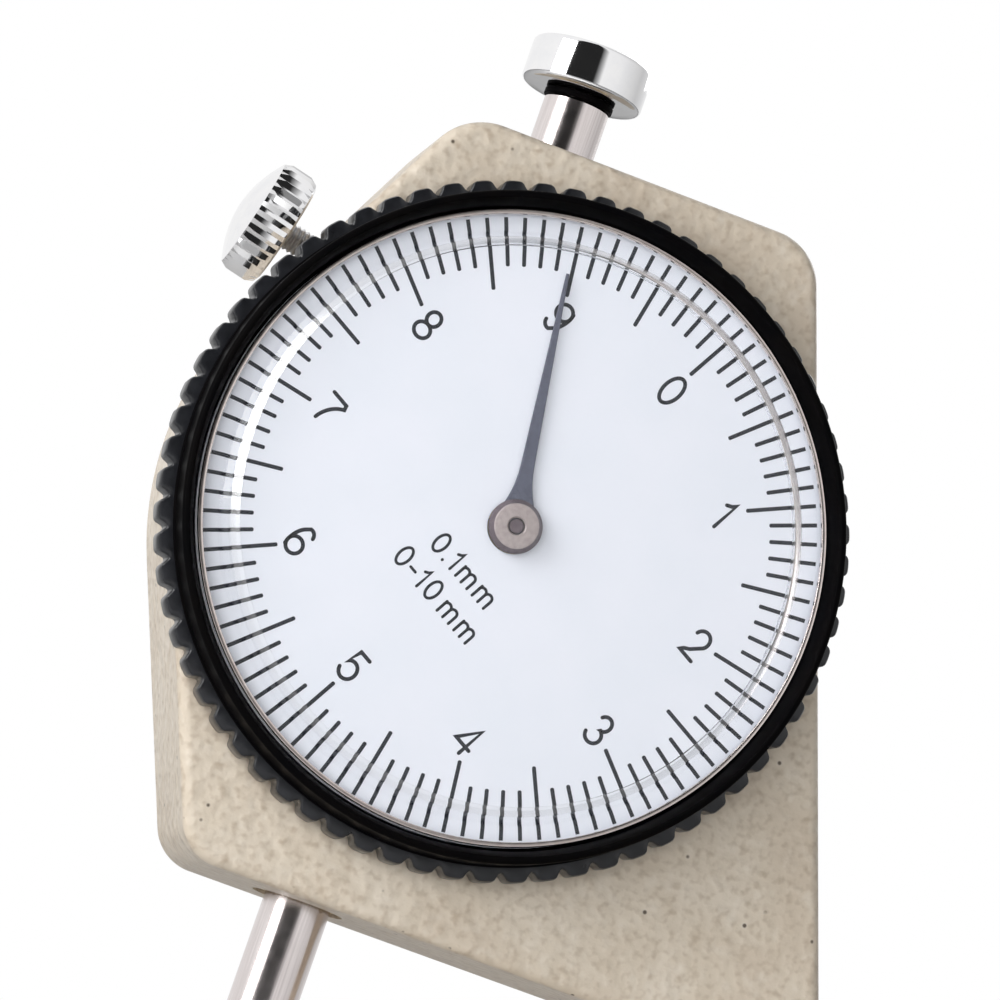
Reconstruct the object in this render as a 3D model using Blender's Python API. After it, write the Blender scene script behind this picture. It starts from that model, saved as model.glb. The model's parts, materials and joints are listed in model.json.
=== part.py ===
"""Dial thickness gauge: cast bow frame, rack spindle, pinion pointer and turning bezel.

Metres, +Z up. The spindle runs along Z through the origin, the dial faces -Y, and the flat
foot under the jaw lies in the plane z = 0. "Front" sizes are distances from the spindle
axis towards the reader of the dial, so they are minus world Y.
"""
import math

import bmesh
import bpy
from mathutils import Matrix, Vector

MM = 0.001

# Clearances
SEAT_GAP = 0.3 * MM
RUN_GAP = 0.15 * MM
PIN_GAP = 0.1 * MM
OVERRUN = 1.5 * MM
WELD_DISTANCE = 0.001 * MM

# Cast frame, seen from the front
CASE_EDGE_ROUND = 1.0 * MM
CASE_CIRCLE_RADIUS = 27.3 * MM
CASE_TOP_RISE = 32.4 * MM
CASE_BOTTOM_DROP = 33.9 * MM
CASE_RIGHT_SLANT = math.radians(19.3)
CASE_UPPER_LEFT_SLANT = math.radians(27.0)
CASE_LOWER_LEFT_SLANT = math.radians(22.0)
TOP_LEFT_ROUND = 7.0 * MM
TOP_RIGHT_ROUND = 4.8 * MM
LOWER_LEFT_ROUND = 4.0 * MM

# Bow and jaw
JAW_HEIGHT = 12.0 * MM
JAW_NOSE_REACH = 8.0 * MM
JAW_NOSE_LOWER_ROUND = 4.5 * MM
JAW_NOSE_UPPER_ROUND = 2.0 * MM
BOW_WIDTH = 11.5 * MM
BOW_OUTER_ROUND = 22.0 * MM
THROAT_UPPER_ROUND = 8.0 * MM
THROAT_LOWER_ROUND = 12.0 * MM
THROAT_OPENING = 26.0 * MM

# Anvil
ANVIL_RADIUS = 5.0 * MM
ANVIL_HEIGHT = 3.2 * MM
ANVIL_CHAMFER = 0.4 * MM
ANVIL_STEM_RADIUS = 3.0 * MM
ANVIL_STEM_LENGTH = 7.2 * MM
ANVIL_SCREW_RADIUS = 1.5 * MM
ANVIL_SCREW_SOCKET_RADIUS = 0.75 * MM
ANVIL_SCREW_SOCKET_DEPTH = 1.5 * MM

# Spindle, its contact and its knob
TRAVEL = 10.0 * MM
CONTACT_GAP = 0.3 * MM
ROD_RADIUS = 2.85 * MM
CONTACT_RADIUS = 5.0 * MM
CONTACT_DISC_HEIGHT = 2.6 * MM
CONTACT_NECK_HEIGHT = 3.2 * MM
CONTACT_CHAMFER = 0.4 * MM
CONTACT_STUD_RADIUS = 1.3 * MM
CONTACT_STUD_LENGTH = 4.0 * MM
KNOB_RADIUS = 5.3 * MM
KNOB_HEIGHT = 3.9 * MM
KNOB_EDGE_ROUND = 0.5 * MM
KNOB_CLEAR_HEIGHT = 5.5 * MM
KNOB_STUD_RADIUS = 1.6 * MM
KNOB_STUD_LENGTH = 2.6 * MM
NECK_RING_STEP = 0.2 * MM
NECK_RING_HEIGHT = 0.55 * MM

# Guide bushes of the spindle
BUSH_WALL = 1.05 * MM
BUSH_RECESS = 0.3 * MM

# Movement pocket in the back of the casting, and its cover
POCKET_LEFT_SPACE = 0.4 * MM
POCKET_RIGHT_SPACE = 3.3 * MM
POCKET_WALL_TOP = 11.0 * MM
POCKET_WALL_BOTTOM = 11.5 * MM
POCKET_CORNER_ROUND = 4.0 * MM
FRONT_WALL = 4.0 * MM
COVER_RIM = 3.5 * MM
COVER_THICKNESS = 1.5 * MM
COVER_SCREW_RADIUS = 1.0 * MM
COVER_SCREW_LENGTH = 5.0 * MM
COVER_SCREW_SINK = 1.05 * MM
COVER_SCREW_HEAD_RADIUS = 1.6 * MM
COVER_SCREW_HEAD_HEIGHT = 0.9 * MM

# Rack and pinion
PINION_TEETH = 16
RACK_PITCH = TRAVEL / PINION_TEETH
PINION_WIDTH = 3.0 * MM
TOOTH_PLAY = 0.05 * MM
TOOTH_ADDENDUM_SHARE = 0.29
TOOTH_DEDENDUM_SHARE = 0.42
FLANK_ANGLE = math.radians(20.0)
RACK_WIDTH = 2.4 * MM
RACK_BACK = 0.7 * MM
RACK_END_TEETH = 3
RACK_LUG = 2.4 * MM
RACK_SCREW_RADIUS = 0.5 * MM
RACK_SCREW_HEAD_RADIUS = 0.8 * MM
RACK_SCREW_HEAD_HEIGHT = 0.4 * MM
RACK_SCREW_LENGTH = 1.4 * MM
RACK_SEAT_DEPTH = 1.004 * MM

# Pointer arbor, its bearings and the plates that carry them
ARBOR_RADIUS = 0.75 * MM
PIVOT_RADIUS = 0.5 * MM
FRONT_BUSH_RADIUS = 2.5 * MM
FRONT_BUSH_FLANGE_RADIUS = 3.5 * MM
FRONT_BUSH_FLANGE = 0.8 * MM
PLATE_THICKNESS = 1.2 * MM
PLATE_COVER_SPACE = 1.6 * MM
PLATE_EDGE = 2.2 * MM
PIVOT_EDGE = 1.7 * MM
PILLAR_RADIUS = 1.5 * MM
PILLAR_STUD_RADIUS = 0.9 * MM
PILLAR_STUD_LENGTH = 2.4 * MM
PLATE_SCREW_RADIUS = 0.7 * MM
PLATE_SCREW_HEAD_RADIUS = 1.3 * MM
PLATE_SCREW_HEAD_HEIGHT = 0.7 * MM
PLATE_SCREW_LENGTH = 3.0 * MM
BRIDGE_PILLAR_OFFSET = 7.0 * MM
BRIDGE_PILLAR_SPREAD = 8.0 * MM
BRIDGE_CORNER_SHARE = 0.7

# Guide plate that stops the spindle from turning
GUIDE_PIN_RADIUS = 0.8 * MM
GUIDE_PIN_DROP = 7.5 * MM
GUIDE_PILLAR_SPACE = 0.65 * MM
GUIDE_PLATE_END = 6.0 * MM
GUIDE_PLATE_LAND = 1.2 * MM

# Return spring and its pins
SPRING_SPACE = 1.2 * MM
SPRING_RADIUS = 1.25 * MM
SPRING_WIRE_RADIUS = 0.2 * MM
SPRING_TURNS = 10
SPRING_POINTS_PER_TURN = 8
SPRING_PIN_RADIUS = 0.6 * MM
SPRING_PIN_DROP = 0.5 * MM
SPRING_POST_RISE = 4.0 * MM

# Hairspring on the arbor
COLLET_RADIUS = 1.6 * MM
COLLET_HEIGHT = 0.6 * MM
HAIRSPRING_INNER = 1.9 * MM
HAIRSPRING_OUTER = 3.3 * MM
HAIRSPRING_STRIP = 0.12 * MM
HAIRSPRING_TURNS = 3
HAIRSPRING_POINTS_PER_TURN = 14
HAIRSPRING_GAP = 0.3 * MM
HAIRSPRING_ROD_SPACE = 0.45 * MM
STUD_RADIUS = 0.5 * MM

# Dial side: sizes along the dial axis are distances in front of the spindle axis
BEZEL_CASE_GAP = 0.4 * MM
FLANGE_THICKNESS = 3.3 * MM
FLANGE_STEP = 1.3 * MM
BOSS_WALL = 2.3 * MM
BEZEL_TOOTH_DEPTH = 0.75 * MM
BEZEL_TEETH = 69
BEZEL_CHAMFER = 0.5 * MM
BEZEL_TOOTH_TOP_SHARE = 0.36
BEZEL_TOOTH_FOOT_SHARE = 0.70
DIAL_SEAT_RADIUS = 26.5 * MM
DIAL_SEAT_STEP = 1.3 * MM
DIAL_SEAT_RISE = 0.1 * MM
RIM_FLARE = 0.45 * MM
RIM_WALL = 0.75 * MM
RIM_RISE = 1.8 * MM
RIM_EDGE = 0.2 * MM
WIRE_RADIUS = 0.45 * MM
WIRE_RISE = 1.5 * MM
WIRE_MOUTH = math.radians(24.0)
CARRIER_THICKNESS = 0.8 * MM
CARRIER_HOLE_RADIUS = 3.0 * MM
DIAL_THICKNESS = 0.5 * MM
DIAL_HOLE_RADIUS = 2.2 * MM
DIAL_TURN = math.radians(29.7)

# Crystal and the bright ring that holds it
CRYSTAL_RIM_THICKNESS = 0.5 * MM
CRYSTAL_RIM_WIDTH = 1.8 * MM
CRYSTAL_BEVEL_WIDTH = 0.7 * MM
CRYSTAL_RISE = 3.0 * MM
CRYSTAL_THICKNESS = 1.2 * MM
BRIGHT_RING_WIDTH = 0.45 * MM
BRIGHT_RING_THICKNESS = 0.4 * MM
BRIGHT_RING_RIM_SHARE = 0.4

# Pointer
POINTER_ANGLE = math.radians(-7.4)
POINTER_END_SPACE = 5.1 * MM
POINTER_THICKNESS = 0.2 * MM
POINTER_EYE_RADIUS = 1.9 * MM
POINTER_ROOT_WIDTH = 2.4 * MM
POINTER_WAIST_WIDTH = 1.1 * MM
POINTER_WAIST_SHARE = 0.36
POINTER_TIP_WIDTH = 0.28 * MM
POINTER_ROOT_SHARE = 0.13
POINTER_FLARE_SHARE = 0.75
POINTER_LIFT = 0.4 * MM
HUB_BASE_RADIUS = 2.25 * MM
HUB_TOP_RADIUS = 1.9 * MM
HUB_HEIGHT = 0.75 * MM
HUB_RIM_SHARE = 0.33
ARBOR_TIP_RADIUS = 0.6 * MM

# Spindle lock: a knurled screw that presses a soft shoe on the rod
LOCK_SLOPE = math.radians(13.0)
LOCK_RISE = 14.1 * MM
LOCK_THREAD_RADIUS = 1.25 * MM
LOCK_SHOE_RADIUS = 1.05 * MM
LOCK_SHOE_LENGTH = 2.2 * MM
LOCK_NECK_LENGTH = 2.8 * MM
LOCK_KNOB_RADIUS = 5.0 * MM
LOCK_KNURL_LENGTH = 3.5 * MM
LOCK_KNURL_DEPTH = 0.25 * MM
LOCK_KNURL_TEETH = 36
LOCK_DOME_HEIGHT = 1.2 * MM
LOCK_EDGE = 0.4 * MM

# Screw heads
HEAD_RIM_SHARE = 0.7
HEAD_TOP_SHARE = 0.85
SLOT_WIDTH_SHARE = 0.6
SLOT_DEPTH_SHARE = 0.5
SLOT_END_SHARE = 0.98

# Shares of a flank's height, and of a dome's radius, from rim to middle
FLANK_SHARES = (0, 0.3, 0.65, 1)
DOME_SHARES = (0.75, 0.5, 0.25)

# Facets
FINE = 48
ROUND = 24
SMALL = 12
EDGE_STEPS = 3
CORNER_STEP = math.radians(12.0)
SHARP_ANGLE = math.radians(35.0)

# Movement, worked out from the spindle outwards
PINION_RADIUS = PINION_TEETH * RACK_PITCH / (2 * math.pi)
ROD_FLAT = ROD_RADIUS - RACK_SEAT_DEPTH
RACK_ROOT = ROD_FLAT + PIN_GAP + RACK_BACK
PITCH_LINE = RACK_ROOT + TOOTH_DEDENDUM_SHARE * RACK_PITCH
DIAL_OFFSET = PITCH_LINE + PINION_RADIUS
PLATE_FRONT = ROD_RADIUS + HAIRSPRING_ROD_SPACE + COLLET_HEIGHT + HAIRSPRING_GAP
PLATE_BACK = PLATE_FRONT + PLATE_THICKNESS
SPRING_OFFSET = ROD_RADIUS + SPRING_SPACE + SPRING_WIRE_RADIUS + SPRING_RADIUS
SPRING_REACH = SPRING_OFFSET + SPRING_RADIUS + SPRING_WIRE_RADIUS
GUIDE_PILLAR_OFFSET = SPRING_REACH + GUIDE_PILLAR_SPACE + PILLAR_RADIUS
BUSH_RADIUS = ROD_RADIUS + BUSH_WALL

# Casting
CASE_FRONT = PLATE_BACK + PLATE_COVER_SPACE + COVER_THICKNESS
POCKET_FLOOR = CASE_FRONT - FRONT_WALL
POCKET_LEFT = GUIDE_PILLAR_OFFSET + PILLAR_RADIUS + POCKET_LEFT_SPACE
POCKET_RIGHT = DIAL_OFFSET + BRIDGE_PILLAR_OFFSET + PLATE_EDGE + POCKET_RIGHT_SPACE
ANVIL_FACE = JAW_HEIGHT + SEAT_GAP + ANVIL_HEIGHT
CASE_BOTTOM = ANVIL_FACE + THROAT_OPENING
DIAL_Z = CASE_BOTTOM + CASE_BOTTOM_DROP
CASE_TOP = DIAL_Z + CASE_TOP_RISE
POCKET_BOTTOM = CASE_BOTTOM + POCKET_WALL_BOTTOM
POCKET_TOP = CASE_TOP - POCKET_WALL_TOP
LOCK_Z = DIAL_Z + LOCK_RISE

# Spindle, knob and contact
CONTACT_FACE = ANVIL_FACE + CONTACT_GAP
ROD_BOTTOM = CONTACT_FACE + CONTACT_DISC_HEIGHT + CONTACT_NECK_HEIGHT + PIN_GAP
ROD_TOP = CASE_TOP + KNOB_CLEAR_HEIGHT
NECK_RING_BOTTOM = ROD_TOP + PIN_GAP
KNOB_BOTTOM = NECK_RING_BOTTOM + NECK_RING_HEIGHT + PIN_GAP

# Bezel, dial and crystal: radii from the dial's seat, places from the casting's front
BEZEL_BORE = DIAL_SEAT_RADIUS - DIAL_SEAT_STEP
BOSS_OUTER_RADIUS = BEZEL_BORE - SEAT_GAP
BOSS_INNER_RADIUS = BOSS_OUTER_RADIUS - BOSS_WALL
WIRE_CIRCLE = (BOSS_OUTER_RADIUS + BEZEL_BORE) / 2
RIM_INNER_RADIUS = DIAL_SEAT_RADIUS + RIM_FLARE
RIM_RADIUS = RIM_INNER_RADIUS + RIM_WALL
BEZEL_RADIUS = RIM_RADIUS + FLANGE_STEP
CRYSTAL_RADIUS = DIAL_SEAT_RADIUS - SEAT_GAP
POINTER_LENGTH = DIAL_SEAT_RADIUS - POINTER_END_SPACE
BEZEL_BACK = CASE_FRONT + BEZEL_CASE_GAP
WIRE_FRONT = BEZEL_BACK + WIRE_RISE
FLANGE_FRONT = BEZEL_BACK + FLANGE_THICKNESS
BOSS_FRONT = FLANGE_FRONT - PIN_GAP
DIAL_SEAT_BACK = FLANGE_FRONT + DIAL_SEAT_RISE
CARRIER_BACK = DIAL_SEAT_BACK + SEAT_GAP
DIAL_BACK = CARRIER_BACK + CARRIER_THICKNESS + SEAT_GAP
DIAL_FRONT = DIAL_BACK + DIAL_THICKNESS
CRYSTAL_RIM_BACK = DIAL_FRONT + SEAT_GAP
CRYSTAL_RIM_FRONT = CRYSTAL_RIM_BACK + CRYSTAL_RIM_THICKNESS
CRYSTAL_FRONT = DIAL_FRONT + CRYSTAL_RISE
RIM_FRONT = CRYSTAL_RIM_FRONT + RIM_RISE
POINTER_BACK = DIAL_FRONT + POINTER_LIFT
POINTER_FRONT = POINTER_BACK + POINTER_THICKNESS
HUB_BACK = POINTER_FRONT + PIN_GAP
HUB_FRONT = HUB_BACK + HUB_HEIGHT

DIAL_CENTRE = Vector((DIAL_OFFSET, 0, DIAL_Z))
TO_FRONT = Matrix.Rotation(math.radians(90), 3, "X")
TO_BACK = Matrix.Rotation(math.radians(-90), 3, "X")
UP = Matrix.Identity(3)
TO_LEFT = Matrix.Rotation(math.radians(-90), 3, "Y")
TO_RIGHT = Matrix.Rotation(math.radians(90), 3, "Y")
LOCK_OUT = Matrix.Rotation(LOCK_SLOPE - math.radians(90), 3, "Y")


# Scene helpers

def clear_scene():
    for item in list(bpy.data.objects):
        bpy.data.objects.remove(item, do_unlink=True)


def make_material(name, colour, roughness, metallic):
    material = bpy.data.materials.new(name)
    material.use_nodes = True
    shader = material.node_tree.nodes["Principled BSDF"]
    shader.inputs["Base Color"].default_value = (*colour, 1.0)
    shader.inputs["Roughness"].default_value = roughness
    shader.inputs["Metallic"].default_value = metallic
    material.diffuse_color = (*colour, 1.0)
    return material


def make_materials():
    table = {
        "beige_enamel": ((0.60, 0.53, 0.43), 0.45, 0.0),
        "bright_chrome": ((0.80, 0.80, 0.82), 0.12, 1.0),
        "ground_steel": ((0.62, 0.60, 0.59), 0.28, 1.0),
        "spring_steel": ((0.42, 0.43, 0.46), 0.35, 1.0),
        "black_gloss": ((0.012, 0.012, 0.014), 0.22, 0.0),
        "dial_white": ((0.86, 0.89, 0.94), 0.40, 0.0),
        "clear_plastic": ((0.92, 0.95, 0.98), 0.03, 0.0),
        "pointer_grey": ((0.10, 0.11, 0.14), 0.40, 0.3),
        "hub_metal": ((0.60, 0.50, 0.46), 0.35, 0.8),
        "brass": ((0.72, 0.56, 0.26), 0.30, 1.0),
        "aluminium": ((0.70, 0.71, 0.72), 0.40, 1.0),
    }
    return {name: make_material(name, *values) for name, values in table.items()}


def place(item, location, turn):
    item.matrix_world = Matrix.Translation(location) @ turn.to_4x4()


def mesh_object(name, shape, material=None, location=(0, 0, 0), turn=UP):
    bmesh.ops.recalc_face_normals(shape, faces=shape.faces)
    mesh = bpy.data.meshes.new(name)
    shape.to_mesh(mesh)
    shape.free()
    mesh.shade_smooth()
    mesh.set_sharp_from_angle(angle=SHARP_ANGLE)
    item = bpy.data.objects.new(name, mesh)
    bpy.context.scene.collection.objects.link(item)
    if material:
        item.data.materials.append(material)
    place(item, location, turn)
    return item


def as_tool(item):
    item.hide_render = True
    item.display_type = "WIRE"
    return item


def combine(target, tool, operation):
    modifier = target.modifiers.new(tool.name, "BOOLEAN")
    modifier.operation = operation
    modifier.solver = "EXACT"
    modifier.object = as_tool(tool)


def weight_normals():
    """Keep the faces of cut pieces from shading into each other."""
    for item in bpy.data.objects:
        if item.modifiers and not item.hide_render:
            item.modifiers.new("face_normals", "WEIGHTED_NORMAL").keep_sharp = True


def cut(target, *tools):
    for tool in tools:
        combine(target, tool, "DIFFERENCE")


def join(target, *tools):
    for tool in tools:
        combine(target, tool, "UNION")


# Shape helpers

def polar(radius, turn):
    return radius * math.cos(turn), radius * math.sin(turn)


def prism_shape(outline, low, high):
    shape = bmesh.new()
    points = [shape.verts.new((x, y, low)) for x, y in outline]
    face = shape.faces.new(points)
    raised = bmesh.ops.extrude_face_region(shape, geom=[face])["geom"]
    lifted = [part for part in raised if isinstance(part, bmesh.types.BMVert)]
    bmesh.ops.translate(shape, vec=(0, 0, high - low), verts=lifted)
    return shape


def prism(name, outline, low, high, **where):
    return mesh_object(name, prism_shape(outline, low, high), **where)


def lathe(name, profile, segments=ROUND, ring=False, **where):
    """Turn (radius, height) points about local Z. A ring's profile closes on itself."""
    shape = bmesh.new()
    points = [shape.verts.new((radius, 0, height)) for radius, height in profile]
    edges = [shape.edges.new(pair) for pair in zip(points, points[1:])]
    if ring:
        edges.append(shape.edges.new((points[-1], points[0])))
    bmesh.ops.spin(
        shape, geom=points + edges, cent=(0, 0, 0), axis=(0, 0, 1),
        angle=2 * math.pi, steps=segments, use_merge=True)
    bmesh.ops.remove_doubles(shape, verts=shape.verts, dist=WELD_DISTANCE)
    return mesh_object(name, shape, **where)


def rod(name, radius, low, high, segments=ROUND, **where):
    return lathe(name, [(0, low), (radius, low), (radius, high), (0, high)], segments, **where)


def tube(name, inner, outer, low, high, segments=ROUND, **where):
    profile = [(inner, low), (outer, low), (outer, high), (inner, high)]
    return lathe(name, profile, segments, ring=True, **where)


def round_corner(before, corner, after, radius):
    """Points of the arc that rounds one corner of an outline."""
    back = (Vector(before) - Vector(corner)).normalized()
    ahead = (Vector(after) - Vector(corner)).normalized()
    half = back.angle(ahead) / 2
    centre = Vector(corner) + (back + ahead).normalized() * radius / math.sin(half)
    start = Vector(corner) + back * radius / math.tan(half) - centre
    finish = Vector(corner) + ahead * radius / math.tan(half) - centre
    sweep = start.angle_signed(finish)
    steps = max(2, math.ceil(abs(sweep) / CORNER_STEP))
    arc = []
    for step in range(steps + 1):
        spoke = start.copy()
        spoke.rotate(Matrix.Rotation(-sweep * step / steps, 2))
        arc.append(tuple(centre + spoke))
    return arc


def rounded_outline(corners):
    """Corners are (x, y, radius); the result is one closed list of points."""
    outline = []
    for index, (x, y, radius) in enumerate(corners):
        before = corners[index - 1][:2]
        after = corners[(index + 1) % len(corners)][:2]
        outline += round_corner(before, (x, y), after, radius)
    return outline


def rounded_box(left, right, bottom, top, radius):
    return rounded_outline([
        (left, bottom, radius), (right, bottom, radius),
        (right, top, radius), (left, top, radius)])


def front_line(angle, distance):
    """Line in the front view: normal and offset from the origin, tangent to the dial circle."""
    normal = Vector((math.cos(angle), math.sin(angle)))
    centre = Vector((DIAL_OFFSET, DIAL_Z))
    return normal, normal.dot(centre) + distance


def level_line(height):
    return Vector((0, 1)), height


def upright_line(place_x):
    return Vector((1, 0)), place_x


def loft(name, sections, **where):
    """Solid through outlines with the same number of points. A section is (outline, height)."""
    shape = bmesh.new()
    rows = [[shape.verts.new((x, y, height)) for x, y in outline] for outline, height in sections]
    count = len(rows[0])
    for low, high in zip(rows, rows[1:]):
        for step in range(count):
            ahead = (step + 1) % count
            shape.faces.new((low[step], low[ahead], high[ahead], high[step]))
    shape.faces.new(reversed(rows[0]))
    shape.faces.new(rows[-1])
    return mesh_object(name, shape, **where)


def star(even, odd, count):
    """Outline whose points lie in turn on two radii."""
    return [polar(odd if step % 2 else even, 2 * math.pi * step / count) for step in range(count)]


def meet(first, second):
    (a, b), (c, d) = first[0], second[0]
    spread = a * d - b * c
    x = (first[1] * d - b * second[1]) / spread
    y = (a * second[1] - first[1] * c) / spread
    return x, y


def slotted_screw(name, material, shank, head, location, turn):
    """Screw with a slot across its head. Shank and head are (radius, length); the head
    stands on local z = 0."""
    radius, length = shank
    head_radius, head_height = head
    profile = [
        (0, -length), (radius, -length), (radius, 0), (head_radius, 0),
        (head_radius, head_height * HEAD_RIM_SHARE),
        (head_radius * HEAD_TOP_SHARE, head_height), (0, head_height)]
    screw = lathe(name, profile, SMALL, material=material, location=location, turn=turn)
    half_width = head_height * SLOT_WIDTH_SHARE / 2
    reach = head_radius + OVERRUN
    outline = [(-reach, -half_width), (reach, -half_width), (reach, half_width), (-reach, half_width)]
    slot = prism(name + "_slot", outline, head_height * SLOT_DEPTH_SHARE, head_height + OVERRUN,
                 location=location, turn=turn)
    cut(screw, slot)
    return screw


# Cast frame

def frame_outline():
    top = level_line(CASE_TOP)
    bottom = level_line(CASE_BOTTOM)
    foot = level_line(0)
    jaw_top = level_line(JAW_HEIGHT)
    nose = upright_line(-JAW_NOSE_REACH)
    right = front_line(CASE_RIGHT_SLANT, CASE_CIRCLE_RADIUS)
    throat = front_line(CASE_RIGHT_SLANT, CASE_CIRCLE_RADIUS - BOW_WIDTH)
    upper_left = front_line(math.pi - CASE_UPPER_LEFT_SLANT, CASE_CIRCLE_RADIUS)
    lower_left = front_line(math.pi + CASE_LOWER_LEFT_SLANT, CASE_CIRCLE_RADIUS)
    return rounded_outline([
        (*meet(nose, foot), JAW_NOSE_LOWER_ROUND),
        (*meet(foot, right), BOW_OUTER_ROUND),
        (*meet(right, top), TOP_RIGHT_ROUND),
        (*meet(top, upper_left), TOP_LEFT_ROUND),
        (*meet(upper_left, lower_left), CASE_CIRCLE_RADIUS),
        (*meet(lower_left, bottom), LOWER_LEFT_ROUND),
        (*meet(bottom, throat), THROAT_UPPER_ROUND),
        (*meet(throat, jaw_top), THROAT_LOWER_ROUND),
        (*meet(jaw_top, nose), JAW_NOSE_UPPER_ROUND)])


def casting_block(material):
    shape = prism_shape(frame_outline(), -CASE_FRONT, CASE_FRONT)
    rims = [edge for edge in shape.edges
            if edge.verts[0].co.z == edge.verts[1].co.z]
    bmesh.ops.bevel(
        shape, geom=rims, offset=CASE_EDGE_ROUND, segments=2, profile=0.5, affect="EDGES")
    return mesh_object("frame_casting", shape, material=material, turn=TO_FRONT)


def pocket_box():
    return -POCKET_LEFT, POCKET_RIGHT, POCKET_BOTTOM, POCKET_TOP


def cover_box(gap):
    left, right, bottom, top = pocket_box()
    rim = COVER_RIM - gap
    return left - rim, right + rim, bottom - rim, top + rim


def cover_screw_places():
    left, right, bottom, top = pocket_box()
    reach = (POCKET_CORNER_ROUND + COVER_RIM / 2) / math.sqrt(2) - POCKET_CORNER_ROUND
    return [(x, z) for x in (left - reach, right + reach) for z in (bottom - reach, top + reach)]


def pocket_tools():
    recess = COVER_THICKNESS + SEAT_GAP
    pocket = prism("pocket_tool", rounded_box(*pocket_box(), POCKET_CORNER_ROUND),
                   -CASE_FRONT - OVERRUN, POCKET_FLOOR, turn=TO_FRONT)
    seat = prism("cover_seat_tool",
                 rounded_box(*cover_box(0), POCKET_CORNER_ROUND + COVER_RIM),
                 -CASE_FRONT - OVERRUN, recess - CASE_FRONT, turn=TO_FRONT)
    return [pocket, seat]


def casting_bores():
    """Bores for the guide bushes, the anvil, the arbor's front bush and the lock screw."""
    spindle = rod("spindle_bore_tool", BUSH_RADIUS + SEAT_GAP,
                  CASE_BOTTOM - OVERRUN, CASE_TOP + OVERRUN)
    anvil_depth = ANVIL_STEM_LENGTH + SEAT_GAP
    anvil = rod("anvil_bore_tool", ANVIL_STEM_RADIUS + SEAT_GAP,
                JAW_HEIGHT - anvil_depth, JAW_HEIGHT + OVERRUN)
    screw = rod("anvil_screw_bore_tool", ANVIL_SCREW_RADIUS + PIN_GAP,
                0, CASE_FRONT + OVERRUN, SMALL, location=anvil_screw_place(), turn=TO_FRONT)
    arbor = rod("arbor_bore_tool", FRONT_BUSH_RADIUS + SEAT_GAP,
                POCKET_FLOOR - OVERRUN, CASE_FRONT + OVERRUN, location=DIAL_CENTRE, turn=TO_FRONT)
    lock = rod("lock_bore_tool", LOCK_THREAD_RADIUS + PIN_GAP,
               ROD_RADIUS + OVERRUN, lock_wall() + LOCK_NECK_LENGTH, SMALL,
               location=(0, 0, LOCK_Z), turn=LOCK_OUT)
    return [spindle, anvil, screw, arbor, lock]


def casting_threads():
    """Blind holes for the cover screws and for the studs of pillars and spring post."""
    tools = []
    for number, (x, z) in enumerate(cover_screw_places(), 1):
        deep = COVER_SCREW_SINK + COVER_SCREW_LENGTH + SEAT_GAP
        tools.append(rod(
            f"cover_thread_tool_{number}", COVER_SCREW_RADIUS + PIN_GAP,
            CASE_FRONT - deep, CASE_FRONT + OVERRUN, SMALL, location=(x, 0, z), turn=TO_BACK))
    for name, (x, z) in {**pillar_places(), "spring_post": spring_post_place()}.items():
        tools.append(rod(
            name + "_thread_tool", PILLAR_STUD_RADIUS + PIN_GAP,
            POCKET_FLOOR - OVERRUN, POCKET_FLOOR + PILLAR_STUD_LENGTH + SEAT_GAP, SMALL,
            location=(x, 0, z), turn=TO_FRONT))
    return tools


def make_casting(materials):
    casting = casting_block(materials["beige_enamel"])
    boss = tube("dial_boss_tool", BOSS_INNER_RADIUS, BOSS_OUTER_RADIUS,
                CASE_FRONT - FRONT_WALL / 2, BOSS_FRONT, FINE, location=DIAL_CENTRE, turn=TO_FRONT)
    groove = tube("wire_groove_tool", BOSS_OUTER_RADIUS - WIRE_RADIUS - PIN_GAP,
                  BOSS_OUTER_RADIUS + OVERRUN,
                  WIRE_FRONT - WIRE_RADIUS - SEAT_GAP, WIRE_FRONT + WIRE_RADIUS + SEAT_GAP,
                  FINE, location=DIAL_CENTRE, turn=TO_FRONT)
    join(casting, boss)
    cut(casting, groove, *pocket_tools(), *casting_bores(), *casting_threads())
    return casting


# Back cover

def make_back_cover(materials):
    low = -CASE_FRONT
    cover = prism("back_cover",
                  rounded_box(*cover_box(SEAT_GAP), POCKET_CORNER_ROUND + COVER_RIM - SEAT_GAP),
                  low, low + COVER_THICKNESS, material=materials["beige_enamel"], turn=TO_FRONT)
    shank = (COVER_SCREW_RADIUS, COVER_SCREW_LENGTH)
    head = (COVER_SCREW_HEAD_RADIUS, COVER_SCREW_HEAD_HEIGHT)
    seat = CASE_FRONT - COVER_SCREW_SINK
    for number, (x, z) in enumerate(cover_screw_places(), 1):
        where = {"location": (x, 0, z), "turn": TO_BACK}
        hole = rod(f"cover_hole_tool_{number}", COVER_SCREW_RADIUS + PIN_GAP,
                   CASE_FRONT - COVER_THICKNESS - OVERRUN, CASE_FRONT + OVERRUN, SMALL, **where)
        sink = rod(f"cover_sink_tool_{number}", COVER_SCREW_HEAD_RADIUS + SEAT_GAP,
                   seat, CASE_FRONT + OVERRUN, SMALL, **where)
        cut(cover, hole, sink)
        slotted_screw(f"cover_screw_{number}", materials["spring_steel"], shank, head,
                      (x, seat + PIN_GAP, z), TO_BACK)


# Anvil

def anvil_screw_place():
    return 0, 0, JAW_HEIGHT - ANVIL_STEM_LENGTH / 2


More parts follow.
